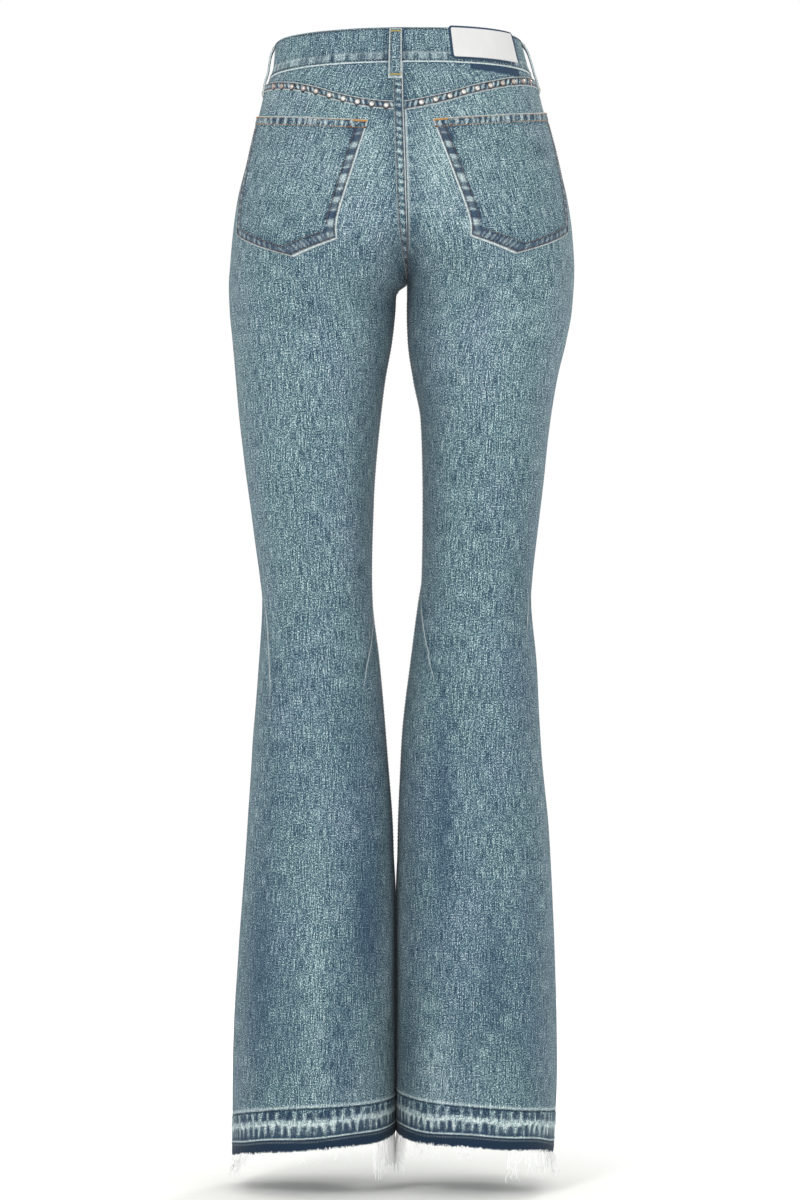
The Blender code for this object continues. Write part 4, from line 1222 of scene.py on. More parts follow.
def quarter(turn):
    """Which quarter of the waist a turn from the centre front lies in, and where in it."""
    turn %= 4.0
    if turn < 1.0:
        return "left", "front", 1.0 - turn
    if turn < 2.0:
        return "left", "back", turn - 1.0
    if turn < 3.0:
        return "right", "back", 3.0 - turn
    return "right", "front", turn - 3.0


def wrap(side, face, across):
    """A spot that has run past the side seam onto the other face."""
    if across < 0.0:
        return side, "front" if face == "back" else "back", -across
    return side, face, across


def band_heights(columns, heights):
    """Heights of lines on the waistband at each column."""
    return np.stack([band_edge(side, face, np.array(across), heights)
                     for side, face, across in columns], axis=1)


def lap_sink(turns):
    """How far the band's under end lies behind its other end."""
    return LAP_DROP * ease(turns, 4.0 - LAP - LAP_RAMP, 4.0 - LAP)[None, :]


def near_loops(turns):
    """How near each column of the band is to a belt loop, from 0 to 1."""
    near = np.zeros(turns.shape)
    for _, side, face, across in LOOPS:
        turn = {("left", "front"): 1 - across, ("left", "back"): 1 + across,
                ("right", "back"): 3 - across, ("right", "front"): 3 + across}[(side, face)]
        near = np.maximum(near, falling(np.abs(turns - turn) * QUARTER, 6.0, 15.0))
    return near[None, :]


def make_waistband():
    """The folded band, whose ends lap at the centre front."""
    turns = np.linspace(-LAP, 4.0 + LAP, 392)
    columns = [quarter(turn) for turn in turns]
    half = BAND_HEIGHT / 2
    heights = np.concatenate([[half, half - 0.4, half - 1.0], np.arange(half - 2.0, -half + 1.4, -1.25),
                              [-half + 1.0, -half + 0.4, -half]])
    z = band_heights(columns, heights)
    h = np.broadcast_to(heights[:, None], z.shape)
    s = np.broadcast_to(turns[None, :] * QUARTER, z.shape)
    sink = lap_sink(turns)
    up, down = h + half, half - h
    from_edge = np.minimum(down, up)
    low_swell = ease(up, 1.5, 4.0) * falling(up, 8.0, 10.5)
    marks = blobs(s[0], *BAND_PUCKERS)[None, :]
    detail = (-0.8 * rounding(from_edge, 1.0) - 0.30 * peak(up, 2.2, 0.7) - 0.22 * peak(down, 2.0, 0.7)
              + 0.35 * low_swell * (1 - 0.6 * marks)
              + 0.25 * np.sin(s / 17 + 1) * np.sin(h / 9) + 0.15 * np.sin(s / 7.3 + h / 6))
    outer = lay(columns, z, BAND_PROUD - sink + detail)
    inner = lay(columns, z, BAND_PROUD - sink - BAND_WALL + 0.6 * falling(from_edge, 0.0, 1.0))
    fade_and_shade, navy = wash(outer)
    uneven = np.interp(s[0], np.linspace(s.min(), s.max(), 120), noise_row(120, 63, 2))[None, :]
    fade_and_shade = fade_and_shade - 0.05 - 0.30 * marks * low_swell + 0.05 * uneven + 0.06 * low_swell
    # Painted shade along the grooves of the two rows of stitches, and a soft darker line above the light
    # ridge.
    fade_and_shade = fade_and_shade - 0.06 * peak(up, 2.5, 0.9) - 0.10 * peak(down, 2.0, 0.9)
    fade_and_shade = fade_and_shade - 0.08 * peak(up, 11.5, 2.0)
    loop_shade = near_loops(turns)
    fade_and_shade = fade_and_shade - 0.16 * loop_shade
    navy = navy + 0.35 * loop_shade
    worn = falling(up, 0.5, 1.2) + 0.30 * falling(down, 0.5, 1.3)
    worn = worn + 0.75 * peak(up, 9.6, 0.65) * (0.6 + 0.4 * uneven)
    worn = worn + 0.20 * low_swell * (1 - marks)
    uv = np.stack([s * MM + PATTERN_SHIFT["band"], h * MM], axis=-1)
    thing = make_shell("waistband_cloth", outer, inner, looks_of(fade_and_shade, navy, worn), uv, DENIM)
    for row, height in enumerate((-half + BAND_ROWS[0], half - BAND_ROWS[1])):
        dense = np.linspace(-LAP + 0.01, 4.0 - LAP * 0.2, 2400)
        spots = [quarter(turn) for turn in dense]
        line_z = band_heights(spots, np.array([height]))
        points = lay(spots, line_z, BAND_PROUD - lap_sink(dense) - 0.1)[0]
        normals = (lay(spots, line_z, 1.0) - lay(spots, line_z, 0.0))[0]
        sew_points(f"band_stitch_{row + 1}", points, normals, NAVY, pitch=3.3, seed=71 + row, tone=0.25,
                   radius=0.66, fill=0.55)
    return thing


# The unfaded mark on the right yoke, under the patch: from and to, from the centre back seam, then
# the height of its lower edge where it starts, and how far that drops along what length
MARK_START, MARK_END = 67.0, 127.3
MARK_TOP, MARK_DROP, MARK_LENGTH = -17.2, 4.3, 61.0


def make_yoke(side):
    """The yoke's cloth, with the shade of the loop, painted shadow under the band and above the fell, and, on
    the right, the unfaded mark.
    """
    waist = float(girth(side, "back", YOKE_LEVEL))
    fine = np.linspace(0, 1, int(waist / 1.5))
    across = np.unique(np.concatenate([spread(waist, EDGE_COLUMNS, COLUMN_STEP["back"]), fine]))
    part = np.linspace(0, 1, 26)[:, None]
    across = np.broadcast_to(np.clip(across, 0.001, 0.999), (len(part), len(across)))
    top = band_edge(side, "back", across, -BAND_HEIGHT / 2) + 1.0
    foot = yoke_edge(side, across) - 2.0
    z = top + (foot - top) * part
    width = girth(side, "back", z)
    side_lift, side_worn = seam_shape(across * width)
    outer = cloth(side, "back", across, z, side_lift - 0.15)
    inner = cloth(side, "back", across, z, side_lift - 0.15 - WALL)
    fade_and_shade, navy = wash(outer)
    fade_and_shade = fade_and_shade - 0.06 * falling(across * width, 6, 40) - 0.045
    # Painted shadow just under the band's edge and just above the fell's raised edge.
    fade_and_shade = fade_and_shade - 0.12 * falling(top - z, 1.0, 4.0) - 0.14 * falling(z - foot, 2.0, 4.5)
    distance = (1 - across) * width
    if side == "right":
        mark = ease(distance, MARK_START - 0.5, MARK_START + 0.8)
        mark = mark * falling(distance, MARK_END - 0.8, MARK_END + 0.7)
        mark_foot = MARK_TOP - MARK_DROP * (distance - MARK_START) / MARK_LENGTH
        mark = mark * ease(z, mark_foot - 0.7, mark_foot + 0.7)
        fade_and_shade = fade_and_shade - 0.62 * mark
        navy = navy + mark
    loop_shade = np.exp(-((distance - 7.0) / 11.0) ** 4) if side == "left" else peak(distance, 0.0, 7.0)
    fade_and_shade = fade_and_shade - 0.12 * loop_shade
    navy = navy + 0.3 * loop_shade
    return make_shell(f"yoke_cloth_{side}", outer, inner, looks_of(fade_and_shade, navy, 0.5 * side_worn),
                      cloth_uv(side, "back", across, z, PATTERN_SHIFT["yoke"]), DENIM)


def make_label():
    """A plain patch on a slightly larger piece of unfaded cloth."""
    waist = float(girth("right", "back", 0.0))
    edge = np.array([0.0, 0.3, 0.8])
    made = []
    for name, grow, low, high, wear, material in LABEL_LAYERS:
        span, rise = LABEL_LENGTH + 3 * grow, LABEL_HEIGHT + 2 * grow
        d = np.concatenate([edge, np.linspace(2, span - 2, 40), (span - edge)[::-1]])
        t = np.concatenate([edge, np.linspace(2, rise - 2, 14), (rise - edge)[::-1]])
        d, t = np.meshgrid(d, t)
        corner = LABEL_CORNER + grow
        from_side, from_end = np.minimum(d, span - d), np.minimum(t, rise - t)
        pull = corner * (1 - np.sqrt(1 - unit(1 - from_end / corner) ** 2)) * falling(from_side, 0, 6)
        d = d + pull * np.sign(span / 2 - d)
        across = 1.0 - (LABEL_START - grow + d) / waist
        z = band_edge("right", "back", across, LABEL_TOP + grow - t)
        from_edge = np.minimum(from_side, from_end)
        out = high - 0.35 * rounding(from_edge, 0.8)
        out = out + 0.10 * np.sin(d / 9.0) * np.sin(t / 7.0)
        outer, inner = cloth("right", "back", across, z, out), cloth("right", "back", across, z, low)
        looks = looks_of(-0.15, 1.0, wear * falling(from_edge, 0.0, 0.5))
        uv = np.stack([d * MM + PATTERN_SHIFT["label"], t * MM], axis=-1)
        made.append(make_shell(name, outer, inner, looks, uv, material))
    return made


# ---------------------------------------------------------------- belt loops

LOOPS = (
    ("belt_loop_centre_back", "left", "back", 0.958),
    ("belt_loop_left_side", "left", "back", 0.015),
    ("belt_loop_right_side", "right", "back", 0.015),
    ("belt_loop_left_front", "left", "front", 0.500),
    ("belt_loop_right_front", "right", "front", 0.500),
)
LOOP_WIDTH = 12.5
LOOP_PATH = (   # along the loop from its top: height above the band's middle, and distance out
    (15.7, 1.1), (16.2, 2.2), (15.2, 3.1), (12.6, 3.3), (9.0, 4.9), (4.0, 5.9), (-4.0, 6.4),
    (-12.0, 6.0), (-20.0, 4.6), (-26.5, 3.0), (-31.0, 2.4), (-34.2, 2.2), (-34.8, 1.4), (-34.2, 0.5),
)
# Places of the points across a loop; the two columns of its stitches; heights of its tacks
LOOP_COLUMNS = np.array([0.0, 0.35, 0.9, 1.8, 3.2, 4.8, 6.25, 7.7, 9.3, 10.7, 11.6, 12.15, 12.5])
LOOP_STITCH_COLUMNS = (3, 9)
LOOP_TACK_HEIGHTS = (13.0, -31.5)
LOOP_WALL = 1.8


def make_belt_loop(name, side, face, across, seed):
    """A folded strip, sewn down at both ends, with two rows of stitches and two tacks."""
    waist = float(girth(side, face, 0.0))
    path = np.array(LOOP_PATH)
    walk = running(np.hypot(*np.diff(path, axis=0).T))
    s = np.linspace(0.0, walk[-1], 58)
    height = -smooth_curve(walk, -path[:, 0], s)
    out = np.interp(s, walk, path[:, 1])
    out[1:-1] = np.convolve(out, (0.25, 0.5, 0.25), "valid")
    t = LOOP_COLUMNS
    columns = [wrap(side, face, across + (LOOP_WIDTH / 2 - spot) / waist) for spot in t]
    z = np.stack([band_edge(key, other, np.array(place), height) for key, other, place in columns], axis=1)
    from_edge = np.minimum(t, LOOP_WIDTH - t)[None, :]
    rounded = -0.9 * rounding(from_edge, 1.0)
    groove = -0.30 * peak(from_edge, 2.3, 0.7)
    centre_rib = 0.25 * peak(t, LOOP_WIDTH / 2, 1.6)[None, :]
    lift = out[:, None] + rounded + groove + centre_rib
    outer = lay(columns, z, lift)
    inner = lay(columns, z, out[:, None] - LOOP_WALL - rounded * 0.4)
    normal = outer - lay(columns, z, lift - 1.0)
    fade_and_shade, navy = wash(outer)
    rib = rope(s[:, None], t[None, :], 5.5, 0.3, seed)
    # The dark line along each stitched groove is painted shade.
    fade_and_shade = fade_and_shade - 0.02 + 0.05 * rib - 0.20 * peak(from_edge, 2.4, 0.7)
    ends = np.minimum(s, s[-1] - s)[:, None]
    worn = 0.70 * falling(from_edge, 0.6, 1.3) + 0.7 * falling(ends, 2.0, 3.0)
    u = t * MM + PATTERN_SHIFT["loop"] + seed * 0.1
    uv = np.stack([np.broadcast_to(u, z.shape), np.broadcast_to(height[:, None] * MM, z.shape)], axis=-1)
    thing = make_shell(f"{name}_cloth", outer, inner, looks_of(fade_and_shade, navy + 0.15, worn), uv, DENIM)
    body = (s > 5.0) & (s < s[-1] - 4.0)
    for row, column in enumerate(LOOP_STITCH_COLUMNS):
        points = outer[body, column] + normal[body, column] * 0.05
        sew_points(f"{name}_stitch_{row + 1}", points, normal[body, column], RUST, pitch=3.0,
                   seed=seed * 7 + row, tone=0.30, radius=0.38)
    for row, level in enumerate(LOOP_TACK_HEIGHTS):
        index = int(np.argmin(np.abs(height - level)))
        bar_tack(f"{name}_tack_{row + 1}", outer[index, 2:11], normal[index, 2:11], OLIVE, 0.5,
                 seed * 11 + row)
    finish_piece(thing, (name,), (0.0125, 0.062))


# ---------------------------------------------------------------- back pockets

POCKETS = {     # top inner, bottom inner, point, bottom outer, top outer: distance and height
    "left": ((35, -70.5), (75.5, -187), (136, -204), (198, -179), (184, -57)),
    "right": ((27.5, -69.5), (67, -184.5), (126, -201), (188, -177), (188, -52)),
}
POCKET_HEM = 9.0
POCKET_OUT = 1.6
POCKET_SKIRT = 0.9          # how far the row round a pocket, which comes down to the cloth, reaches; it is coloured as a dark line, partly painted shadow and partly unfaded cloth
POCKET_SPAN = (118.0, 128.0)        # rough width and height, for spacing its points
POCKET_STEP = 1.45
POCKET_NEAR = (0.0, 0.35, 0.9, 1.7, 2.6)
POCKET_SAG = 1.6            # of the top edge
POCKET_ROWS = (1.9, 9.2)    # rows of stitches, from a pocket's edge
POCKET_HEM_ROWS = ((1.5, 15.0), (POCKET_HEM - 0.6, 3.0))    # from the top edge, and where each starts
POCKET_TACKS = (    # from and to along the top edge, inset from it, thread, tone and width
    (0.8, 15.0, 1.9, GOLD, 0.55, 2.0), (15.5, 18.5, 8.6, RUST, 0.7, 1.8), (1.2, 3.8, 8.4, RUST, 0.6, 1.8),
)


def line_distance(d, z, start, end):
    """Distance from a line, and how far along it, for places in the cloth's plane."""
    start, end = np.array(start, float), np.array(end, float)
    along = (end - start) / np.hypot(*(end - start))
    part = (d - start[0]) * along[0] + (z - start[1]) * along[1]
    return np.abs((d - start[0]) * along[1] - (z - start[1]) * along[0]), part


def read_marks(part, pitch, seed):
    """Uneven marks along a line, read at places given by how far along it they are."""
    table = np.linspace(-20.0, 220.0, 1600)
    return np.interp(part, table, blobs(table, pitch, seed))


def pocket_corners(side):
    """The five corners and the middle, as distance from the centre back seam and height."""
    corners = [np.array(corner, float) for corner in POCKETS[side]]
    return (*corners, sum(corners) / 5)


def pocket_grid(side):
    """Places of a pocket's points, which of them make the row round it that carries its painted shadow line,
    and the top edge's sag.
    """
    top_inner, bottom_inner, point, bottom_outer, top_outer, centre = pocket_corners(side)
    p, q = (np.concatenate([[0.0], spread(span, POCKET_NEAR, POCKET_STEP), [1.0]]) for span in POCKET_SPAN)
    p, q = p[None, :], q[:, None]
    foot = (bottom_inner + bottom_outer) / 2
    tip = (1 - np.abs(2 * p - 1)) * q
    left = [top_inner[k] * (1 - q) + bottom_inner[k] * q for k in (0, 1)]
    right = [top_outer[k] * (1 - q) + bottom_outer[k] * q for k in (0, 1)]
    sag = -POCKET_SAG * np.sin(math.pi * p) * (1 - q) ** 2
    d = left[0] * (1 - p) + right[0] * p + (point - foot)[0] * tip
    z = left[1] * (1 - p) + right[1] * p + (point - foot)[1] * tip + sag
    shadow_skirt = np.ones(d.shape)
    shadow_skirt[1:-1, 1:-1] = 0.0
    push = np.stack([d - centre[0], z - centre[1]], axis=-1)
    push /= np.linalg.norm(push, axis=-1)[..., None]
    d = d + push[..., 0] * POCKET_SKIRT * shadow_skirt
    z = z + push[..., 1] * POCKET_SKIRT * shadow_skirt
    return d, z, shadow_skirt > 0, sag


def make_pocket_cloth(side):
    """The patch, with its turned-in edges, roped top hem, the marks of wear along its seams, painted shade in
    its stitched grooves and under its hem, and a painted shadow line round it.
    """
    top_inner, bottom_inner, point, bottom_outer, top_outer, _ = pocket_corners(side)
    d, z, shadow_skirt, sag = pocket_grid(side)
    inner_edge, inner_part = line_distance(d, z, top_inner, bottom_inner)
    outer_edge, outer_part = line_distance(d, z, top_outer, bottom_outer)
    foot_a, foot_a_part = line_distance(d, z, bottom_inner, point)
    foot_b, foot_b_part = line_distance(d, z, point, bottom_outer)
    top_edge = np.abs(line_distance(d, z, top_inner, top_outer)[0] + sag)
    rim = np.minimum.reduce([inner_edge, outer_edge, foot_a, foot_b])
    nearest = np.minimum(rim, top_edge)
    hem = falling(top_edge, POCKET_HEM - 0.4, POCKET_HEM + 0.8)
    turned_in = falling(rim, 9.0, 11.0)
    rope_hem = 0.5 - 1.3 * read_marks(d, 5.4, 81)
    inner_marks = read_marks(inner_part - 0.45 * inner_edge, 11.5, 91)
    marks = np.maximum.reduce([
        inner_marks * band_mask(inner_edge, 2.2, 10.6),
        read_marks(outer_part, 8.0, 93) * band_mask(outer_edge, 2.4, 8.2) * 0.8,
        read_marks(foot_a_part, 5.2, 95) * band_mask(foot_a, 2.4, 8.4) * 1.1,
        read_marks(foot_b_part, 5.2, 97) * band_mask(foot_b, 2.4, 8.4) * 1.1])
    marks = marks * (1 - hem)
    hem_body = hem * band_mask(top_edge, 1.6, POCKET_HEM - 1.2)
    out = (POCKET_OUT + 0.55 * turned_in * (1 - hem) + 0.95 * hem - 1.1 * rounding(nearest, 1.0)
           - 0.30 * peak(rim, 1.9, 0.6) - 0.30 * peak(rim, 8.4, 0.7) - 0.30 * peak(top_edge, 1.5, 0.6) * hem
           + 0.32 * hem_body * rope_hem - 0.36 * marks
           + 0.5 * np.sin(d / 23) * np.sin(z / 31) * ease(rim, 8, 30))
    across = 1.0 - d / girth(side, "back", z)
    outer = cloth(side, "back", across, z, np.where(shadow_skirt, 0.05, out))
    inner = cloth(side, "back", across, z, -0.4)
    fade_and_shade, navy = wash(outer)
    fade_and_shade = fade_and_shade - 0.055 + hem_body * (0.36 * rope_hem - 0.12) - 0.40 * marks
    # Painted shade along the grooves of the rows of stitches and just under the hem's edge.
    fade_and_shade = fade_and_shade - 0.16 * peak(rim, 8.6, 0.9) - 0.18 * peak(rim, 2.0, 0.7) * (1 - hem)
    fade_and_shade = fade_and_shade - 0.14 * np.exp(-((top_edge - POCKET_HEM - 0.8) / 0.9) ** 2) * (rim > 6)
    shade_corner = np.exp(-((inner_edge - 8) / 9) ** 2 - ((top_edge - 16) / 8) ** 2)
    fade_and_shade = fade_and_shade - 0.24 * shade_corner - 0.06 * falling(rim, 9, 16) * (1 - hem)
    pale = (1 - inner_marks) ** 2 * band_mask(inner_edge, 2.6, 9.0)
    pale = pale * (1 - hem) * (1 - 0.6 * shade_corner)
    fade_and_shade = fade_and_shade + 0.10 * pale
    navy = navy + 0.9 * marks + 0.6 * shade_corner + 0.5 * unit(-hem_body * rope_hem)
    worn = 0.9 * falling(nearest, 0.5, 1.2) + 0.62 * hem_body * unit(rope_hem)
    worn = worn + 0.25 * turned_in * (1 - hem) * (1 - marks) * band_mask(rim, 3, 7.5) + 0.12 * pale
    # The row round the pocket is a dark navy line: painted shadow, partly the unfaded cloth along the
    # pocket's edge.
    fade_and_shade, navy, worn = np.where(shadow_skirt, 0.10, fade_and_shade), np.where(shadow_skirt, 0.8, navy), np.where(shadow_skirt, 0.0, worn)
    thing = make_shell(f"back_pocket_{side}_cloth", outer, inner, looks_of(fade_and_shade, navy, worn),
                       cloth_uv(side, "back", across, z, PATTERN_SHIFT["pocket"]), DENIM)
    finish_piece(thing, (f"back_pocket_{side}",), (0.157, 0.152))


def pocket_line(side, start, end, inset_by, start_cut=0.0, end_cut=0.0):
    """Places on the cloth along a pocket's edge, set in towards its middle."""
    centre = pocket_corners(side)[-1]
    length = np.hypot(*(end - start))
    along = (end - start) / length
    inward = np.array([-along[1], along[0]])
    inward *= np.sign(np.dot(centre - start, inward))
    s = np.arange(start_cut, length - end_cut, 0.5)
    spot = start + along * s[:, None] + inward * inset_by
    return 1.0 - spot[:, 0] / girth(side, "back", spot[:, 1]), spot[:, 1]


def sew_pocket(side):
    """Two rows of stitches down the sides and along the foot, two along the hem, and four tacks."""
    top_inner, bottom_inner, point, bottom_outer, top_outer, _ = pocket_corners(side)
    for k, offset in enumerate(POCKET_ROWS):
        cut = offset * 0.8
        for name, start, end, first, last, tone in (
                ("inner", top_inner, bottom_inner, 11.0, cut, 0.35),
                ("foot_a", bottom_inner, point, cut, cut * 0.4, 0.55),
                ("foot_b", point, bottom_outer, cut * 0.4, cut, 0.55),
                ("outer", bottom_outer, top_outer, cut, 11.0, 0.35)):
            sew(f"pocket_{side}_{name}_stitch_{k + 1}", side, "back",
                *pocket_line(side, start, end, offset, first, last), POCKET_OUT + 0.42, RUST, pitch=3.1,
                seed=101 + k, tone=tone, radius=0.40)
    for k, (offset, cut) in enumerate(POCKET_HEM_ROWS):
        across, z = pocket_line(side, top_inner, top_outer, offset, cut, 3.0)
        z = z - POCKET_SAG * np.sin(math.pi * np.linspace(cut / 150, 1, len(z)))
        sew(f"pocket_{side}_hem_stitch_{k + 1}", side, "back", across, z, POCKET_OUT + 0.86, GOLD, pitch=2.9,
            seed=111 + k, tone=0.28, radius=0.40)

    def tack(name, across, z, *style):
        points = cloth(side, "back", across, z, POCKET_OUT + 1.0)
        bar_tack(f"pocket_{side}_tack_{name}", points, normal_of(side, "back", across, z), *style)

    for k, (first_at, last_at, inset, material, tone, width) in enumerate(POCKET_TACKS):
        first, last = (np.array(pocket_line(side, top_inner, top_outer, inset, at)).T[0]
                       for at in (first_at, last_at))
        spots = first + (last - first) * np.linspace(0, 1, 12)[:, None]
        tack(k + 1, spots[:, 0], spots[:, 1], material, tone, 121 + k, width)
    across, z = pocket_line(side, top_inner, top_outer, 2.0, 0, 0.4)
    tack("outer", across[-14:], z[-14:], GOLD, 0.5, 131, 2.0)


# ---------------------------------------------------------------- let-down hem

HEM_LEVEL = -1060.0         # where the distance round the hem is measured
HEM_COLUMN = 1.4
# The two rows of dark teeth: pitch, foot and top in millimetres above the raw edge, the part of the
# pitch that a tooth fills, and how far it strays from its place
UPPER_TEETH = (9.6, 30.2, 39.4, 0.72, 0.24)
LOWER_TEETH = (8.5, 13.8, 25.6, 0.76, 0.14)
# Rows of the let-down band, in millimetres above the raw edge, close together at its fold and lines
HEM_ROWS = (47.0, 46.0, 45.0, 44.2, 43.4, 42.7, 42.0, 41.3, 40.7, 40.1, 39.6, 39.1, 38.5, 37.8, 36.9, 35.9,
            34.8, 33.6, 32.4, 31.3, 30.3, 29.3, 28.3, 27.3, 26.3, 25.3, 24.3, 23.2, 22.0, 20.7, 19.4, 18.1,
            16.9, 15.8, 14.9, 14.0, 13.3, 12.7, 12.1, 11.3, 10.4, 9.6, 8.8, 7.6, 6.2, 4.8, 3.5, 2.2, 1.2,
            0.5, 0.0)


def leg_ring(side, z, step):
    """Columns all round a leg from its side seam, back first, and the distance round to each."""
    back, front = float(girth(side, "back", z)), float(girth(side, "front", z))
    count_back, count_front = int(back / step), int(front / step)
    columns = [(side, "back", (k + 0.5) / count_back) for k in range(count_back)]
    columns += [(side, "front", 1.0 - (k + 0.5) / count_front) for k in range(count_front)]
    s = np.concatenate([(np.arange(count_back) + 0.5) / count_back * back,
                        back + (np.arange(count_front) + 0.5) / count_front * front])
    return columns, s


def hem_heights(columns, above):
    """Heights of the let-down band's rows at each column."""
    edge, groove = (np.array([float(foot_line(table, *column)) for column in columns])
                    for table in (HEM, GROOVE))
    above = np.asarray(above, float)[:, None]
    part = np.minimum(above / GROOVE_LEVEL, 1.0)
    return edge * (1 - part) + groove * part + np.maximum(above - GROOVE_LEVEL, 0.0)


def seam_near(columns):
    """How near each column is to a side seam or an inseam, in millimetres."""
    return np.array([min(across, 1.0 - across) * float(girth(side, face, HEM_LEVEL))
                     for side, face, across in columns])


def teeth(s, t, seed, pitch, low, high, fill, jitter):
    """Uneven dark marks in a row, blunt at the foot and narrower at the top."""
    rng = np.random.default_rng(seed)
    count = int(np.ceil(np.max(s) / pitch))
    centres = (np.arange(count) + 0.5 + rng.uniform(-jitter, jitter, count)) * pitch
    s, t = np.broadcast_arrays(s, t)
    result = np.zeros(t.shape)
    for centre in centres:
        half = pitch * fill / 2 * rng.uniform(0.7, 1.2)
        top, foot = high + rng.uniform(-2.0, 1.6), low + rng.uniform(-0.6, 0.8)
        lean, amount = rng.uniform(-0.10, 0.10), rng.uniform(0.65, 1.0)
        near = np.abs(s[0] - centre) < pitch * 2.0
        high_up = t[:, near] - foot
        part = unit(high_up / (top - foot))
        off = np.abs(s[:, near] - centre - lean * high_up) / (half * (1.05 - 0.45 * part ** 2))
        inside = ease(high_up, -1.0, 1.0) * falling(high_up, top - foot - 1.6, top - foot + 0.8)
        inside = inside * falling(off, 0.62, 1.35)
        result[:, near] = np.maximum(result[:, near], amount * inside)
    return result


def make_hem(side):
    """The band of cloth that was folded up before: dark teeth, a pale zigzag, a navy raw foot and painted
    shadow in the groove at its top.
    """
    columns, s = leg_ring(side, HEM_LEVEL, HEM_COLUMN)
    t = np.array(HEM_ROWS)[:, None]
    z = hem_heights(columns, HEM_ROWS)
    seed = 200 + 20 * SIGN[side]
    ring = 2 * math.pi * s / s[-1]
    drift = (0.8 * np.sin(3 * ring + seed) + 0.6 * np.sin(7 * ring + 2 * seed))[None, :]
    ragged = np.interp(s, np.linspace(0, s[-1], 260), noise_row(260, seed + 4, 0))[None, :]
    threads = np.random.default_rng(seed + 5).normal(0.0, 1.0, z.shape)
    threads = (threads + np.roll(threads, 1, 0) + np.roll(threads, 2, 0) + np.roll(threads, 3, 0)) / 2
    level = t - drift
    s = s[None, :]
    upper = teeth(s, level, seed + 1, *UPPER_TEETH)
    lower = teeth(s, level, seed + 2, *LOWER_TEETH)
    zigzag = peak(level - 28.0 - np.sin(2 * math.pi * s / LOWER_TEETH[0]), 0.0, 2.6) * (1 - 0.8 * lower)
    between = (band_mask(level, 15.0, 27.0) * (1 - lower) * ease(level, 12.5, 20.0)
               + 0.5 * band_mask(level, 30.0, 37.6) * (1 - upper) ** 2)
    line = peak(level, 12.6, 0.62)
    at_foot = band_mask(level, 13.8, 16.5)
    dots = peak(level, 9.4, 0.6) * (0.55 + 0.45 * np.sin(2 * math.pi * s / 2.7))
    low = falling(level, 11.2, 12.4)
    above = ease(t, 40.3, 42.0)
    groove = peak(t, GROOVE_LEVEL, 0.8)
    fold = peak(t, 42.2, 1.4)
    seam = seam_near(columns)[None, :]
    bulk = 0.8 * peak(seam, 0.0, 7.0) * ease(t, 0, 3) * (1 - above)
    from_inner = np.array([(1 - across) * float(girth(key, face, HEM_LEVEL))
                           for key, face, across in columns])
    out = (-0.12 * ease(t, 45.0, 46.5) + 0.08 * falling(t, 45.0, 46.5) + 0.45 * fold - 1.15 * groove
           + (0.30 + 0.35 * zigzag + 0.40 * line - 0.48 * upper - 0.40 * lower - 0.15 * low) * (1 - above)
           - 0.2 * falling(t, 0.0, 1.0) + bulk + 0.12 * ragged * (1 - above)
           + 0.35 * np.sin(s / 15.0) * ease(-t, -14, 0)) - 0.5 * peak(seam, 0.0, 1.0)
    out = out + leg_lean(from_inner[None, :], z)
    z = z + (0.8 * ragged + 0.4 * drift) * falling(t, 0.0, 4.0)
    outer = lay(columns, z, out)
    inside = lay(columns, z, out - WALL + 0.3 * falling(t, 0.0, 1.0))
    wash_fade_and_shade, wash_navy = wash(outer)
    fade_and_shade = (0.43 + 0.3 * (wash_fade_and_shade - 0.5) - 0.42 * upper - 0.50 * lower + 0.20 * zigzag + 0.15 * between
            + 0.24 * line - 0.20 * at_foot - 1.05 * low + 0.28 * dots * low
            + 0.07 * threads * (1 - low) + 0.03 * threads + 0.10 * falling(t, 0.0, 2.2))
    # Painted shadow in the groove under the old fold; at each seam a dark line of painted shade with a
    # lighter line beside it.
    fade_and_shade = fade_and_shade * (1 - above) + (wash_fade_and_shade + 0.02) * above - 0.42 * groove + 0.16 * fold
    fade_and_shade = fade_and_shade - 0.20 * peak(seam, 0.0, 1.2) + 0.12 * peak(seam, 3.0, 1.2)
    navy = (0.15 + 0.5 * upper + 0.6 * lower + 0.2 * at_foot) * (1 - low) * (1 - above) + wash_navy * above
    worn = (0.26 * zigzag * (1 + 0.5 * threads) + 0.28 * between * (1 + 0.5 * threads) + 0.60 * line
            + 0.25 * dots * low) * (1 - above) + 0.30 * fold * (1 + 0.3 * threads)
    worn = worn + 0.40 * falling(t, 0.2, 1.2)
    return make_shell(f"hem_{side}", outer, inside, looks_of(fade_and_shade, navy, worn), lay_uv(columns, z), DENIM,
                      ring=True)


# ---------------------------------------------------------------- frayed threads

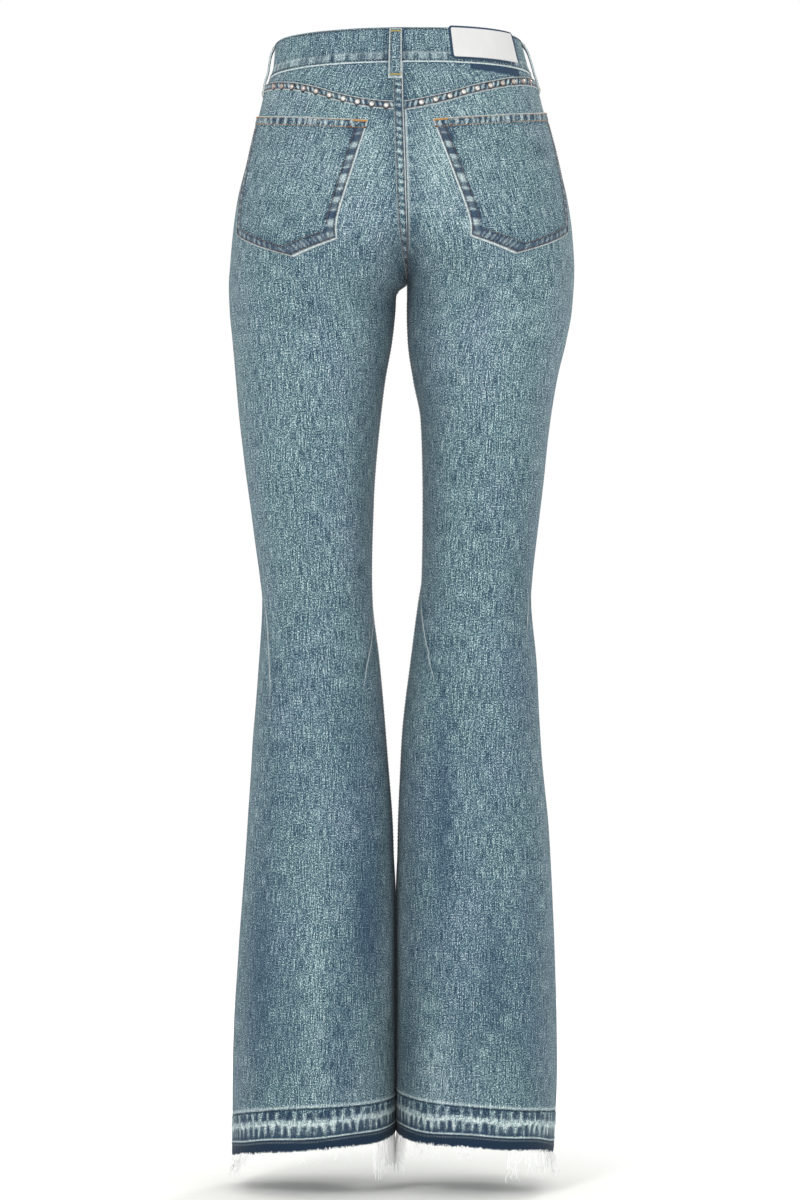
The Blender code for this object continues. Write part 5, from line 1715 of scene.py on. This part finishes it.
# Thread groups: side, face, from and to (place across, 0 at the side seam), how many, shortest and
# longest (mm), curl (mm), spread (mm), thickness (mm)
THREADS = (
    ("left", "back", 0.0, 1.0, 620, 1.0, 3.6, 0.8, 1.2, 0.30),
    ("left", "front", 0.0, 1.0, 520, 1.5, 5.0, 1.0, 1.2, 0.30),
    ("right", "back", 0.0, 1.0, 620, 1.0, 3.8, 0.8, 1.2, 0.30),
    ("right", "front", 0.0, 1.0, 520, 1.5, 5.0, 1.0, 1.2, 0.30),
    ("left", "back", 0.22, 0.90, 10, 10.0, 24.0, 5.0, 9.0, 0.42),
    ("left", "front", 0.05, 0.95, 24, 9.0, 22.0, 4.5, 7.0, 0.40),
    ("right", "back", 0.05, 0.92, 12, 9.0, 22.0, 5.0, 8.0, 0.42),
    ("right", "front", 0.05, 0.95, 24, 9.0, 22.0, 4.5, 7.0, 0.40),
    ("left", "back", 0.00, 0.24, 84, 7.0, 24.0, 3.6, 9.0, 0.46),
    ("left", "front", 0.00, 0.07, 20, 8.0, 22.0, 3.0, 7.0, 0.44),
    ("left", "back", 0.74, 0.97, 96, 16.0, 44.0, 1.4, 8.0, 0.52),
    ("left", "front", 0.92, 1.0, 26, 14.0, 36.0, 1.4, 5.0, 0.46),
    ("right", "back", 0.84, 0.97, 70, 16.0, 42.0, 1.6, 8.0, 0.52),
    ("right", "front", 0.94, 1.0, 20, 14.0, 34.0, 1.4, 5.0, 0.46),
    ("right", "back", 0.82, 0.91, 20, 8.0, 20.0, 5.0, 6.0, 0.50),
    ("right", "back", 0.66, 0.76, 16, 8.0, 20.0, 5.5, 7.0, 0.50),
    ("right", "back", 0.50, 0.58, 14, 8.0, 16.0, 5.0, 6.0, 0.50),
    ("right", "back", 0.06, 0.42, 50, 10.0, 34.0, 7.0, 12.0, 0.42),
    ("right", "front", 0.00, 0.20, 24, 10.0, 28.0, 5.0, 8.0, 0.40),
)
THREAD_RADIUS = 0.22


def thread_line(rng, start, normal, length, curl, spread):
    """One loose thread: it leaves the edge, falls, and winds about its way down."""
    t = np.linspace(0.0, 1.0, max(5, min(18, int(length / 2.2) + 4)))
    sideways = np.cross(normal, np.array([0.0, 0.0, 1.0]))
    lean = rng.normal(0.0, 0.30) * spread
    outward = abs(rng.normal(0.0, 0.35)) * spread * 0.5
    turns = rng.uniform(0.5, 1.2) + length / 22.0
    phase, grow = rng.uniform(0, 2 * math.pi), rng.uniform(0.8, 1.5)
    winding = 2 * math.pi * turns * t
    sway = np.stack([np.sin(winding + phase), np.cos(winding * 0.83 + phase)], axis=1)
    sway = (sway - sway[0]) * (0.5 * curl * t ** grow)[:, None]
    fall = length * (t + 0.05 * np.sin(winding + phase * 2) * t)
    line = (start + sideways * (lean * t + sway[:, 0])[:, None]
            + normal * (outward * t + 0.6 * sway[:, 1])[:, None])
    line[:, 2] -= fall
    return line


def make_fringe(side):
    """The threads that hang from a raw edge."""
    rng = np.random.default_rng(311 + SIGN[side])
    lines = []
    for key, face, low, high, count, shortest, longest, curl, spread_by, thick in THREADS:
        if key == side:
            across = np.sort(rng.uniform(low, high, count))
            lengths = shortest + (longest - shortest) * rng.beta(1.3, 1.9, count)
            z = foot_line(HEM, side, face, across) + rng.uniform(0.6, 2.2, count)
            starts = cloth(side, face, across, z, -WALL * rng.uniform(0.0, 1.0, count) + 0.2)
            for start, normal, length in zip(starts, normal_of(side, face, across, z), lengths):
                line = thread_line(rng, start, normal, length, curl, spread_by)
                taper = np.linspace(1.0, 0.55, len(line)) * thick / THREAD_RADIUS * rng.uniform(0.8, 1.15)
                lines.append((line, taper, 0.5, normal))
    thing = tubes(f"frayed_threads_{side}", lines, THREAD_RADIUS, COTTON, 4)
    finish_piece(thing, (f"hem_fringe_{side}",))


# ---------------------------------------------------------------- studs, button and zip

STUD_COUNT = 10
STUD_START = 17.0           # from the centre back seam
STUD_PITCH = 14.0
STUD_DROP = 5.3             # below the yoke seam
STUD_OUT = 1.15             # the fell's face
STUD_SHAPE = (  # radius and height above the fell, then how warm the metal is there and how dark the painted shadow round its base
    (0.0, 2.15, 0.0, 0.0), (0.7, 2.1, 0.0, 0.0), (1.4, 1.9, 0.0, 0.0), (2.1, 1.5, 0.2, 0.0),
    (2.6, 0.95, 0.5, 0.1), (2.85, 0.45, 0.7, 0.6), (3.0, 0.12, 0.5, 1.0), (3.4, 0.22, 0.3, 1.0),
    (3.7, 0.0, 0.2, 1.0), (3.7, -0.7, 0.2, 1.0),
)
STUD_TURNS = 22
BUTTON_SHAPE = (    # radius and height from the band's face
    (0.0, 3.3), (1.2, 3.25), (2.0, 2.95), (2.6, 2.85), (4.4, 2.85), (5.1, 2.95), (5.5, 3.25), (6.3, 3.35),
    (7.2, 3.15), (7.9, 2.7), (8.4, 2.1), (8.6, 1.5), (8.5, 0.9), (7.6, 0.2), (7.0, 0.0),
)


def turned(name, centres, normals, shape, turns, material, keys=(), warmth=None):
    """Closed round pieces on the cloth, turned from a profile of radius and height.

    The profile's further columns are looks with the names in keys; warmth is added to the first."""
    points, faces, looks, uv = [], [], {key: [] for key in keys}, []
    angles = 2 * math.pi * np.arange(turns) / turns
    rings = [row for row in shape if row[0] > 0]
    start = 0
    for k, (centre, normal) in enumerate(zip(centres, normals)):
        side = np.cross(normal, np.array([0.0, 0.0, 1.0]))
        side /= np.linalg.norm(side)
        up = np.cross(side, normal)
        points.append(centre + normal * shape[0][1])
        for radius, height, *_ in rings:
            points += [centre + (side * math.cos(angle) + up * math.sin(angle)) * radius + normal * height
                       for angle in angles]
        points.append(centre + normal * rings[-1][1])
        last = start + 1 + len(rings) * turns
        for i in range(turns):
            j = (i + 1) % turns
            faces.append((start + 1 + i, start + 1 + j, start))
            faces.append((last - turns + j, last - turns + i, last))
            for a in range(start + 1, last - turns, turns):
                b = a + turns
                faces.append((b + j, a + j, a + i))
                faces.append((b + i, b + j, a + i))
        for index, key in enumerate(keys):
            extra = warmth[k] if index == 0 else 0.0
            values = [row[2 + index] + extra for row in rings for _ in range(turns)]
            looks[key] += [shape[0][2 + index] + extra, *values, rings[-1][2 + index]]
        middle = k * 0.017
        uv.append((middle, 0.0))
        uv += [(middle + row[0] * MM * math.cos(angle), row[0] * MM * math.sin(angle))
               for row in rings for angle in angles]
        uv.append((middle, 0.0))
        start = last + 1
    looks = {key: unit(values) for key, values in looks.items()}
    return make_mesh(name, np.array(points), np.array(faces), looks, np.array(uv), 50, material)


def make_studs(side):
    """The row of domed studs along the yoke's fell."""
    s = STUD_START + STUD_PITCH * np.arange(STUD_COUNT)
    z = yoke_seam(side, s) - STUD_DROP
    across = 1.0 - s / girth(side, "back", z)
    warmth = 0.05 + 0.6 * ease(s, 60.0, 140.0) + 0.12 * noise_row(len(s), 411 + SIGN[side])
    thing = turned(f"yoke_studs_{side}", cloth(side, "back", across, z, STUD_OUT),
                   normal_of(side, "back", across, z), STUD_SHAPE, STUD_TURNS, STUD, ("warm", "rim"), warmth)
    finish_piece(thing, [f"yoke_stud_{side}_{k + 1}" for k in range(STUD_COUNT)])


def make_button():
    """The waist button, on the band at the centre front."""
    z = float(band_edge("left", "front", 1.0, 0.0))
    place = cloth("left", "front", np.array([0.9995]), np.array([z]), BAND_PROUD)[0]
    ahead = np.array([0.0, -1.0, BAND_TILT])
    ahead /= np.linalg.norm(ahead)
    thing = turned("waist_button_cap", [place], [ahead], BUTTON_SHAPE, 48, BUTTON)
    finish_piece(thing, ("waist_button",))


def front_cloth(x, z, out):
    """Points on the front at distances to the left (or, if negative, right) of the centre seam."""
    x, z, out = np.broadcast_arrays(np.asarray(x, float), np.asarray(z, float), np.asarray(out, float))
    points = np.empty(x.shape + (3,))
    for side in ("left", "right"):
        mask = x >= 0 if side == "left" else x < 0
        if mask.any():
            across = 1.0 - np.abs(x[mask]) / girth(side, "front", z[mask])
            points[mask] = cloth(side, "front", across, z[mask], out[mask])
    return points


FLY_LENGTH = 128.0
FLY_LEFT, FLY_RIGHT = 38.0, -16.0       # the guard's edges, from the centre seam
INNER_GAP = 1.2             # between the front and the layers behind it
ZIP_WIDTH = 24.0
ZIP_LENGTH = FLY_LENGTH - 14.0
ZIP_MIDDLE = (FLY_LEFT + FLY_RIGHT) / 2 - 2.0
ZIP_OUT = -WALL - INNER_GAP - WALL - 0.4        # the tape's front face, behind the guard
ZIP_COLUMNS = np.array([0.0, 0.02, 0.1, 0.25, 0.4, 0.46, 0.5, 0.54, 0.6, 0.75, 0.9, 0.98, 1.0])
TOOTH_PITCH = 2.2
TOOTH_HALF = 2.2            # half length of a tooth
TOOTH_STAGGER = 0.7


def make_fly_guard(top):
    """The guard behind the fly, whose foot curves round to the centre."""
    part = np.linspace(0.0, 1.0, 60)[:, None]
    t = np.linspace(0.0, 1.0, 22)[None, :]
    x = FLY_LEFT * (1 - 0.55 * part ** 5) * (1 - t) + FLY_RIGHT * t
    z = top - FLY_LENGTH * part + 0 * t
    out = -WALL - INNER_GAP
    edge = np.minimum(np.minimum(t, 1 - t) * 50, np.minimum(part, 1 - part) * FLY_LENGTH)
    looks = looks_of(0.30 - 0.15 * peak(edge, 4, 1.0), 0.6, 0.5 * falling(edge, 0.5, 2.0))
    uv = np.stack([x * MM + PATTERN_SHIFT["guard"], z * MM], axis=-1)
    guard = make_shell("fly_guard_cloth", front_cloth(x, z, out), front_cloth(x, z, out - WALL), looks,
                       uv, DENIM)
    finish_piece(guard, ("fly_guard",), (0.054, 0.128))


def make_zip(top):
    """The zip's tape and its teeth."""
    rows = np.linspace(0.0, 1.0, 90)[:, None]
    x = ZIP_MIDDLE + (ZIP_COLUMNS - 0.5) * ZIP_WIDTH + 0 * rows
    z = top - 4.0 - ZIP_LENGTH * rows + 0 * x
    uv = np.stack([x * MM + PATTERN_SHIFT["zip"], z * MM], axis=-1)
    tape = make_shell("zip_tape_cloth", front_cloth(x, z, ZIP_OUT), front_cloth(x, z, ZIP_OUT - 0.8),
                      looks_of(0.0, 0.0, 0.0), uv, TAPE)
    finish_piece(tape, ("fly_zip",), (0.024, 0.114))
    lines = []
    for k in range(int(ZIP_LENGTH / TOOTH_PITCH)):
        across = np.linspace(-TOOTH_HALF, TOOTH_HALF, 4) + (TOOTH_STAGGER if k % 2 else -TOOTH_STAGGER)
        line = front_cloth(ZIP_MIDDLE + across, top - 5.0 - TOOTH_PITCH * k, ZIP_OUT - 1.3)
        lines.append((line, (0.85, 1.0, 1.0, 0.85), 0.5, np.array([0.0, 1.0, 0.0])))
    finish_piece(tubes("zip_teeth", lines, 0.62, ZIP_METAL))


# ---------------------------------------------------------------- front pockets and topstitching

SCOOP_ROWS = (2.0, 8.0)     # rows of stitches, in from the opening's edge
FLY_ROWS = (0.0, 6.0)       # in from the guard's edge
FLY_CURVE = 1.1             # height of the fly's curved foot for each millimetre of its width
RISE_ROWS = (2.0, 7.5)      # from the centre seam, below the fly
RISE_TOP, RISE_FOOT = -150.0, -215.0
INSEAM_TOP, OUTSEAM_TOP, LEG_ROW_FOOT = -240.0, -60.0, -1030.0
FACING_LAP = 16.0           # below the opening's edge
FACING_ACROSS = 0.50
FACING_TUCK = 5.0           # above the band's foot, behind the band


def make_facing(side):
    """The cloth that shows behind the scooped front pocket opening."""
    columns = np.linspace(0.006, FACING_ACROSS, 42)
    part = np.linspace(0.0, 1.0, 48)[:, None]
    across = np.broadcast_to(columns, (len(part), len(columns)))
    band_foot = band_edge(side, "front", across, -BAND_HEIGHT / 2)
    top = band_foot + FACING_TUCK
    foot = scoop_edge(side, across) - FACING_LAP
    z = top + (foot - top) * part
    out = -WALL - INNER_GAP + 0.55 * ease(z - band_foot, -4.0, -0.5)
    outer, inner = cloth(side, "front", across, z, out), cloth(side, "front", across, z, out - WALL)
    fade_and_shade, navy = wash(outer)
    shade = falling(np.abs(z - scoop_edge(side, across)), 0.0, 7.0)
    looks = looks_of(fade_and_shade - 0.10 - 0.16 * shade, navy + 0.3 + 0.3 * shade, 0.0)
    thing = make_shell(f"pocket_facing_{side}_cloth", outer, inner, looks,
                       cloth_uv(side, "front", across, z, PATTERN_SHIFT["facing"]), DENIM)
    finish_piece(thing, (f"pocket_facing_{side}",), (0.115, 0.100))


def sew_scoop(side):
    """Two rows round the front pocket's opening."""
    for row, offset in enumerate(SCOOP_ROWS):
        across = np.linspace(0.004, SCOOP_ACROSS + offset / 260.0, 400)
        band = band_edge(side, "front", across, -BAND_HEIGHT / 2)
        part = unit(across / (SCOOP_ACROSS + offset / 250.0))
        z = band - (SCOOP_DEPTH + offset) * (1 - part ** SCOOP_POWER) ** (1 / SCOOP_POWER)
        keep = z < band - 1.5
        sew(f"scoop_stitch_{side}_{row + 1}", side, "front", across[keep], z[keep], 0.45, GOLD, pitch=3.1,
            seed=501 + row, tone=0.35)


def sew_leg(name, side, face, top, inset, out, material, **style):
    """A row down a leg's whole length, some millimetres from its side seam or, if less than 0, its inseam."""
    z = np.arange(top, LEG_ROW_FOOT, -0.6)
    across = (1.0 if inset < 0 else 0.0) + inset / girth(side, face, z)
    sew(f"{name}_stitch_{side}", side, face, across, z, out, material, **style)


def sew_front(name, x, z, **style):
    """A row of gold stitches on the front, at distances from the centre seam."""
    points = front_cloth(x, z, 0.35)
    sew_points(name, points, front_cloth(x, z, 1.35) - points, GOLD, **style)


def sew_fly():
    """Two rows that curve round the fly, and two on the lap below it."""
    top = float(band_edge("left", "front", 1.0, -BAND_HEIGHT / 2)) - 1.5
    for row, offset in enumerate(FLY_ROWS):
        reach = FLY_LEFT - offset
        straight = FLY_LENGTH - reach * FLY_CURVE
        angle = np.linspace(0.0, math.pi / 2, 120)[1:]
        x = np.concatenate([np.full(260, reach), reach * np.cos(angle)])
        z = np.concatenate([top - straight * np.linspace(0.0, 1.0, 260),
                            top - straight - (reach * FLY_CURVE) * np.sin(angle)])
        keep = x > 2.0
        sew_front(f"fly_stitch_{row + 1}", x[keep], z[keep], pitch=3.1, seed=531 + row, tone=0.35)
    for row, offset in enumerate(RISE_ROWS):
        z = np.arange(RISE_TOP, RISE_FOOT, -0.5)
        sew_front(f"front_rise_stitch_{row + 1}", offset, z, pitch=3.2, seed=541 + row, tone=0.3)


# ---------------------------------------------------------------- all pieces

# Flat width and length of the cloth of each piece that shows, in metres
FLAT = {
    "back_panel": (0.335, 1.045), "front_panel": (0.262, 1.060), "hem": (0.560, 0.041),
    "yoke": (0.168, 0.045), "waistband": (0.700, 0.036), "label_ground": (0.081, 0.035),
    "label_patch": (0.076, 0.030),
}


def make_all():
    """Every piece of the garment, side by side and then the ones at the centre."""
    for side in ("left", "right"):
        back, front = make_leg_panel(side, "back"), make_leg_panel(side, "front")
        hem = make_hem(side)
        fells = [make_yoke_fell(side)]
        if side == "left":
            fells.append(make_centre_fell())
        finish_piece(back, (f"back_panel_{side}",), FLAT["back_panel"])
        finish_piece(front, (f"front_panel_{side}",), FLAT["front_panel"])
        for piece in fells:
            finish_piece(piece)
        finish_piece(hem, (), FLAT["hem"])
        finish_piece(make_yoke(side), (f"back_yoke_{side}",), FLAT["yoke"])
        make_knee_folds(side)
        make_pocket_cloth(side)
        sew_pocket(side)
        make_fringe(side)
        make_studs(side)
        make_facing(side)
    for face in ("back", "front"):
        make_seam_backing(face)
    finish_piece(make_waistband(), ("waistband",), FLAT["waistband"])
    ground, patch = make_label()
    finish_piece(ground, (), FLAT["label_ground"])
    finish_piece(patch, ("waist_label",), FLAT["label_patch"])
    for index, (name, side, face, across) in enumerate(LOOPS):
        make_belt_loop(name, side, face, across, 7 + index)
    make_button()
    fly_top = float(band_edge("left", "front", 1.0, -BAND_HEIGHT / 2)) - 1.0
    make_fly_guard(fly_top)
    make_zip(fly_top)
    for side in ("left", "right"):
        sew_scoop(side)
        sew_leg("inseam", side, "front", INSEAM_TOP, -4.5, 0.35, RUST, pitch=3.6, seed=521, tone=0.3)
    sew_fly()
    for side in ("left", "right"):
        sew_leg("outseam", side, "back", OUTSEAM_TOP, 2.2, 0.15, NAVY, pitch=3.4, seed=551, tone=0.4,
                radius=0.36)


make_all()


# ---------------------------------------------------------------- floor, light and camera

FLOOR_Z = -1.124
FLOOR_TURNS = 96
FLOOR_RINGS = (0.2, 0.4, 0.6, 0.8, 1.0, 1.4, 2.0)
LIGHTS = (      # name, place, target, size, power
    ("key", (1.5, 3.2, 1.6), (0.0, 0.0, -0.5), 1.1, 56.0),
    ("fill", (-2.6, 2.4, 0.2), (0.0, 0.0, -0.55), 1.8, 18.0),
    ("low_fill", (0.1, 3.6, -0.95), (0.0, 0.0, -0.95), 1.2, 22.0),
    ("front_key", (-1.6, -3.2, 1.6), (0.0, 0.0, -0.5), 1.2, 50.0),
)
LENS, SENSOR = 126.0, 36.0
CAMERA_PLACE = (0.003, 4.2, -0.538)


def make_floor():
    """A pale disc with painted shade: greyer under the garment, fading to white farther out."""
    mesh = bpy.data.meshes.new("floor")
    angles = [2 * math.pi * k / FLOOR_TURNS for k in range(FLOOR_TURNS)]
    points = [(0.0, 0.0, 0.0)]
    points += [(radius * math.cos(a), radius * math.sin(a), 0.0) for radius in FLOOR_RINGS for a in angles]
    steps = [(k, (k + 1) % FLOOR_TURNS) for k in range(FLOOR_TURNS)]
    faces = [(0, 1 + k, 1 + after) for k, after in steps]
    for ring in range(len(FLOOR_RINGS) - 1):
        a = 1 + ring * FLOOR_TURNS
        b = a + FLOOR_TURNS
        faces += [(a + k, b + k, b + after, a + after) for k, after in steps]
    mesh.from_pydata(points, [], faces)
    floor = bpy.data.objects.new("floor", mesh)
    floor.location = (0.0, 0.0, FLOOR_Z)
    bpy.context.scene.collection.objects.link(floor)
    g = Graph("pale_floor")
    place = g.nodes.new("ShaderNodeTexCoord").outputs["Object"]
    length = g.nodes.new("ShaderNodeVectorMath")
    length.operation = "LENGTH"
    g.feed(length.inputs[0], place)
    # Painted shade: greyer near the middle under the garment, white from farther out.
    g.set(Base_Color=g.ramp(length.outputs["Value"], ((0.20, (0.85, 0.85, 0.81)), (0.66, (1.0, 1.0, 1.0)))),
          Roughness=0.8)
    mesh.materials.append(g.material)
    floor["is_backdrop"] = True


def add_area(name, place, target, size, power):
    """A round soft light that looks at a target."""
    light = bpy.data.lights.new(name, "AREA")
    light.shape = "DISK"
    light.size = size
    light.energy = power
    thing = bpy.data.objects.new(name, light)
    thing.location = place
    thing.rotation_euler = (Vector(target) - Vector(place)).to_track_quat("-Z", "Y").to_euler()
    bpy.context.scene.collection.objects.link(thing)


def make_stage():
    """White surroundings, the floor, four soft lights and a camera behind the garment."""
    scene = bpy.context.scene
    scene.view_settings.view_transform = "Standard"
    world = bpy.data.worlds.new("pale_studio")
    world.use_nodes = True
    world.node_tree.nodes["Background"].inputs["Color"].default_value = (1.0, 1.0, 1.0, 1.0)
    world.node_tree.nodes["Background"].inputs["Strength"].default_value = 1.0
    scene.world = world
    make_floor()
    for light in LIGHTS:
        add_area(*light)
    camera = bpy.data.cameras.new("camera")
    camera.sensor_width = SENSOR
    camera.lens = LENS
    thing = bpy.data.objects.new("camera", camera)
    thing.location = CAMERA_PLACE
    thing.rotation_euler = (math.pi / 2, 0.0, math.pi)
    scene.collection.objects.link(thing)
    scene.camera = thing


make_stage()
{"cad": [list(corner) for corner in CAD_BOX], "looks": [list(c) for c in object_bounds()]}
